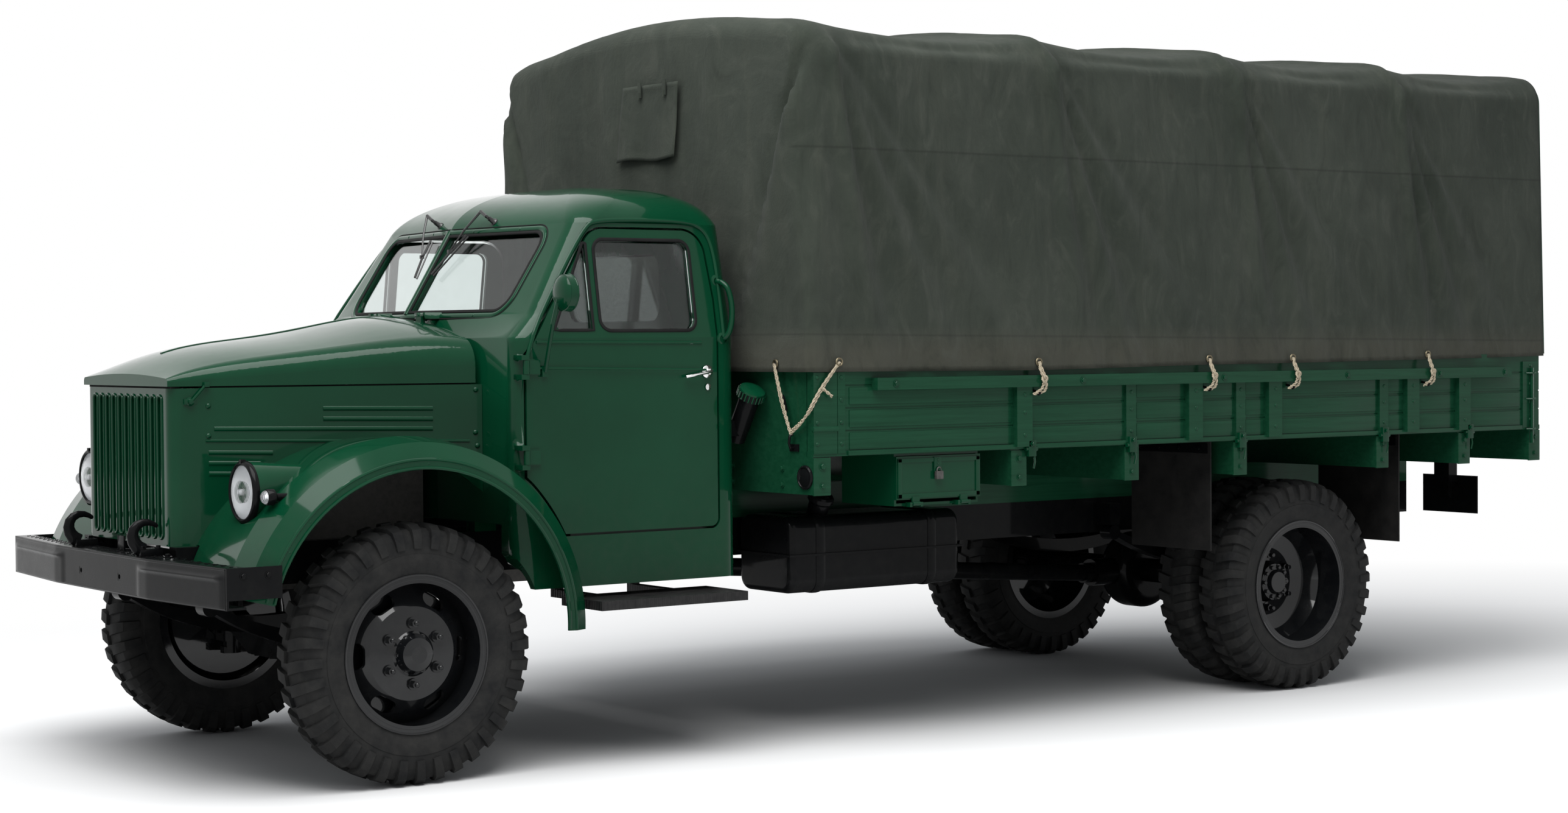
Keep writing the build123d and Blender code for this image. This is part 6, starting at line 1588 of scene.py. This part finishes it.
seat_low, seat_high = (Vector(corner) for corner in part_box("seat"))
inset = Vector((0.014, 0.012, 0.012))
SEWING_PITCH = 0.125
cushion_low = seat_low + inset
cushion_high = Vector((seat_high.x, seat_low.y + 0.440, seat_low.z + 0.150)) - inset
cushion = blow_up("seat_cushion", cushion_low, cushion_high, 0.022)
sew(cushion, cushion_low, cushion_high, Vector((0.0, 0.0, 1.0)), SEWING_PITCH)
finish_pad(cushion, SEAT)
back_low = Vector((seat_low.x, seat_high.y - 0.100, seat_low.z + 0.012)) + inset
back_high = seat_high - inset
backrest = blow_up("seat_backrest", back_low, back_high, 0.016)
sew(backrest, back_low, back_high, Vector((0.0, -1.0, 0.0)), SEWING_PITCH)
finish_pad(backrest, SEAT)
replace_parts(cushion, "seat")

# Mirror: rolled rim and silvered glass on the rear side
MIRROR = Vector((1.000, FRONT_AXLE_Y + 0.545, 1.720))
rim = Shape()
ring = [(MIRROR.x + x, MIRROR.y + 0.013, MIRROR.z + z) for x, z in circle(0.0635, 60)]
rim.tube(ring, 0.0045, 8, closed=True)
back = ((0.0, 0.064), (0.006, 0.060), (0.013, 0.050), (0.018, 0.036), (0.021, 0.018), (0.022, 0.0))
rim.lathe(MIRROR + Vector((0, -0.013, 0)), (0, -1, 0), back, 40)
rim.finish("mirror_rim", "door_left", "green_paint", GREEN)
silver = Shape()
dome = ((0.0, 0.061), (0.0022, 0.059), (0.0032, 0.030), (0.0036, 0.0))
silver.lathe(MIRROR + Vector((0, 0.0135, 0)), (0, 1, 0), dome, 40)
silver.finish("mirror_glass", "door_left", "dark_plastic", CHROME)

# Tail lamps: red lenses in rolled rims; screws of the blank plate
lens, lamp = Shape(), Shape()
for sign in (1, -1):
    face = Vector((sign * 0.640, BED_REAR_Y - 0.030, 0.905))
    for dz, size in ((0.024, 0.026), (-0.032, 0.020)):
        middle = face + Vector((0, 0, dz))
        bezel = ((-0.002, size + 0.006), (0.005, size + 0.006), (0.007, size + 0.003), (0.006, size))
        lamp.lathe(middle, (0, 1, 0), bezel, 28)
        lens.lathe(middle, (0, 1, 0), ((0.003, size), (0.008, size * 0.92), (0.012, size * 0.6), (0.0135, 0.0)), 28)
for x in (-0.145, 0.145):
    lamp.bolt((0.640 + x, BED_REAR_Y - 0.023, 0.855), (0, 1, 0), 0.012, 0.006)
lens.finish("tail_lenses", "chassis", "tail_lens", RED_LENS)
lamp.finish("tail_lamp_rims", "chassis", "black_paint", BLACK)

# Steering wheel: finger grips under the rim and a hub cap
column_tilt = radians(38.0)
hub = Vector((0.370, CAB_FRONT_Y + 0.390, 1.450))
axis = Vector((0.0, sin(pi / 2 - column_tilt), cos(pi / 2 - column_tilt)))
flat_way = Vector((1.0, 0.0, 0.0))
other_way = axis.cross(flat_way)
wheel = Shape()
wheel.lathe(hub + axis * 0.008, axis, ((0.0, 0.036), (0.010, 0.034), (0.017, 0.026), (0.021, 0.012), (0.022, 0.0)), 28)
for a, b in circle(1.0, 36):
    out = flat_way * a + other_way * b
    wheel.rivet(hub + out * 0.202 - axis * 0.011, -axis, 0.0075)
wheel.finish("steering_grips", "steering_wheel", "dark_plastic", PLASTIC)

# Floor, light and camera


def make_floor():
    """Pale floor that keeps the truck's shadow, has a painted shadow that darkens it under the truck, and goes over
    into the white background further out.
    """
    data = bpy.data.meshes.new("floor")
    half = 90.0
    data.from_pydata([(-half, -half, 0), (half, -half, 0), (half, half, 0), (-half, half, 0)], [], [(0, 1, 2, 3)])
    shader = Shader("floor", Roughness=0.9, Specular_IOR_Level=0.0)
    # Painted shadow: the floor's colour falls from 0.86 to 0.42 towards the truck's footprint, with a faint random tone
    # on top
    under = shader.node("ShaderNodeVectorMath", operation="LENGTH")
    shader.link(shader.stretched((1.0, 0.36, 1.0)), under.inputs[0])
    floor_tone_and_painted_shadow = shader.levels(under.outputs["Value"], 0.55, 2.1, 0.42, 0.86)
    floor_tone_and_painted_shadow = shader.math("ADD", floor_tone_and_painted_shadow, shader.levels(shader.noise(0.8, 3.0), 0.2, 0.8, -0.01, 0.01))
    grey = shader.node("ShaderNodeCombineColor")
    for socket in grey.inputs:
        shader.link(floor_tone_and_painted_shadow, socket)
    shader.colour(grey.outputs[0])
    reach = shader.node("ShaderNodeVectorMath", operation="LENGTH")
    shader.link(shader.stretched((1.0, 0.62, 1.0)), reach.inputs[0])
    far = shader.levels(reach.outputs["Value"], 1.8, 5.5, 0.0, 1.0)
    path = shader.node("ShaderNodeLightPath")
    seen = shader.math("MAXIMUM", path.outputs["Is Camera Ray"], path.outputs["Is Glossy Ray"])
    seen = shader.math("MAXIMUM", seen, path.outputs["Is Transmission Ray"])
    plain = shader.node("ShaderNodeEmission")
    plain.inputs["Strength"].default_value = 1.0
    blend = shader.node("ShaderNodeMixShader")
    shader.link(shader.math("MULTIPLY", seen, far), blend.inputs[0])
    shader.link(shader.main.outputs[0], blend.inputs[1])
    shader.link(plain.outputs[0], blend.inputs[2])
    shader.link(blend.outputs[0], shader.tree.nodes["Material Output"].inputs["Surface"])
    data.materials.append(shader.material)
    floor = bpy.data.objects.new("floor", data)
    bpy.context.collection.objects.link(floor)
    return floor


def make_area(name, place, target, size, energy):
    data = bpy.data.lights.new(name, "AREA")
    data.shape = "RECTANGLE"
    data.size, data.size_y = size
    data.energy = energy
    lamp = bpy.data.objects.new(name, data)
    lamp.location = place
    lamp.rotation_euler = (Vector(target) - Vector(place)).to_track_quat("-Z", "Y").to_euler()
    bpy.context.collection.objects.link(lamp)
    return lamp


def make_world():
    """Even sky for light, plain white where the camera looks straight at it."""
    world = bpy.data.worlds.new("sky")
    bpy.context.scene.world = world
    world.use_nodes = True
    nodes, links = world.node_tree.nodes, world.node_tree.links
    nodes.clear()
    path = nodes.new("ShaderNodeLightPath")
    seen = nodes.new("ShaderNodeMath")
    seen.operation = "MAXIMUM"
    links.new(path.outputs["Is Camera Ray"], seen.inputs[0])
    links.new(path.outputs["Is Transmission Ray"], seen.inputs[1])
    shown = nodes.new("ShaderNodeMath")
    shown.operation = "MAXIMUM"
    links.new(seen.outputs[0], shown.inputs[0])
    links.new(path.outputs["Is Glossy Ray"], shown.inputs[1])
    sky = nodes.new("ShaderNodeBackground")
    sky.inputs["Color"].default_value = (0.93, 0.96, 1.0, 1.0)
    sky.inputs["Strength"].default_value = 0.52
    plain = nodes.new("ShaderNodeBackground")
    plain.inputs["Color"].default_value = (1.0, 1.0, 1.0, 1.0)
    plain.inputs["Strength"].default_value = 1.0
    blend = nodes.new("ShaderNodeMixShader")
    links.new(shown.outputs[0], blend.inputs[0])
    links.new(sky.outputs[0], blend.inputs[1])
    links.new(plain.outputs[0], blend.inputs[2])
    out = nodes.new("ShaderNodeOutputWorld")
    links.new(blend.outputs[0], out.inputs[0])


def make_camera():
    """The viewpoint of the photograph."""
    yaw, pitch, roll = radians(53.943), radians(1.418), radians(-0.393)
    forward = Vector((-sin(yaw) * cos(pitch), cos(yaw) * cos(pitch), -sin(pitch)))
    right = Vector((cos(yaw), sin(yaw), 0.0))
    up = right.cross(forward)
    level, upright = cos(roll) * right + sin(roll) * up, cos(roll) * up - sin(roll) * right
    data = bpy.data.cameras.new("camera")
    data.lens = 60.64
    data.sensor_width = 36.0
    data.sensor_fit = "HORIZONTAL"
    data.clip_end = 200.0
    camera = bpy.data.objects.new("camera", data)
    turn = Matrix((level, upright, -forward)).transposed().to_4x4()
    camera.matrix_world = Matrix.Translation((9.061, -6.872, 1.5428)) @ turn
    bpy.context.collection.objects.link(camera)
    bpy.context.scene.camera = camera


make_world()
make_camera()
make_floor()
make_area("key_light", (3.0, -4.0, 9.0), (0.0, 0.0, 1.0), (8.0, 8.0), 1500.0)
bpy.context.scene.view_settings.view_transform = "Standard"
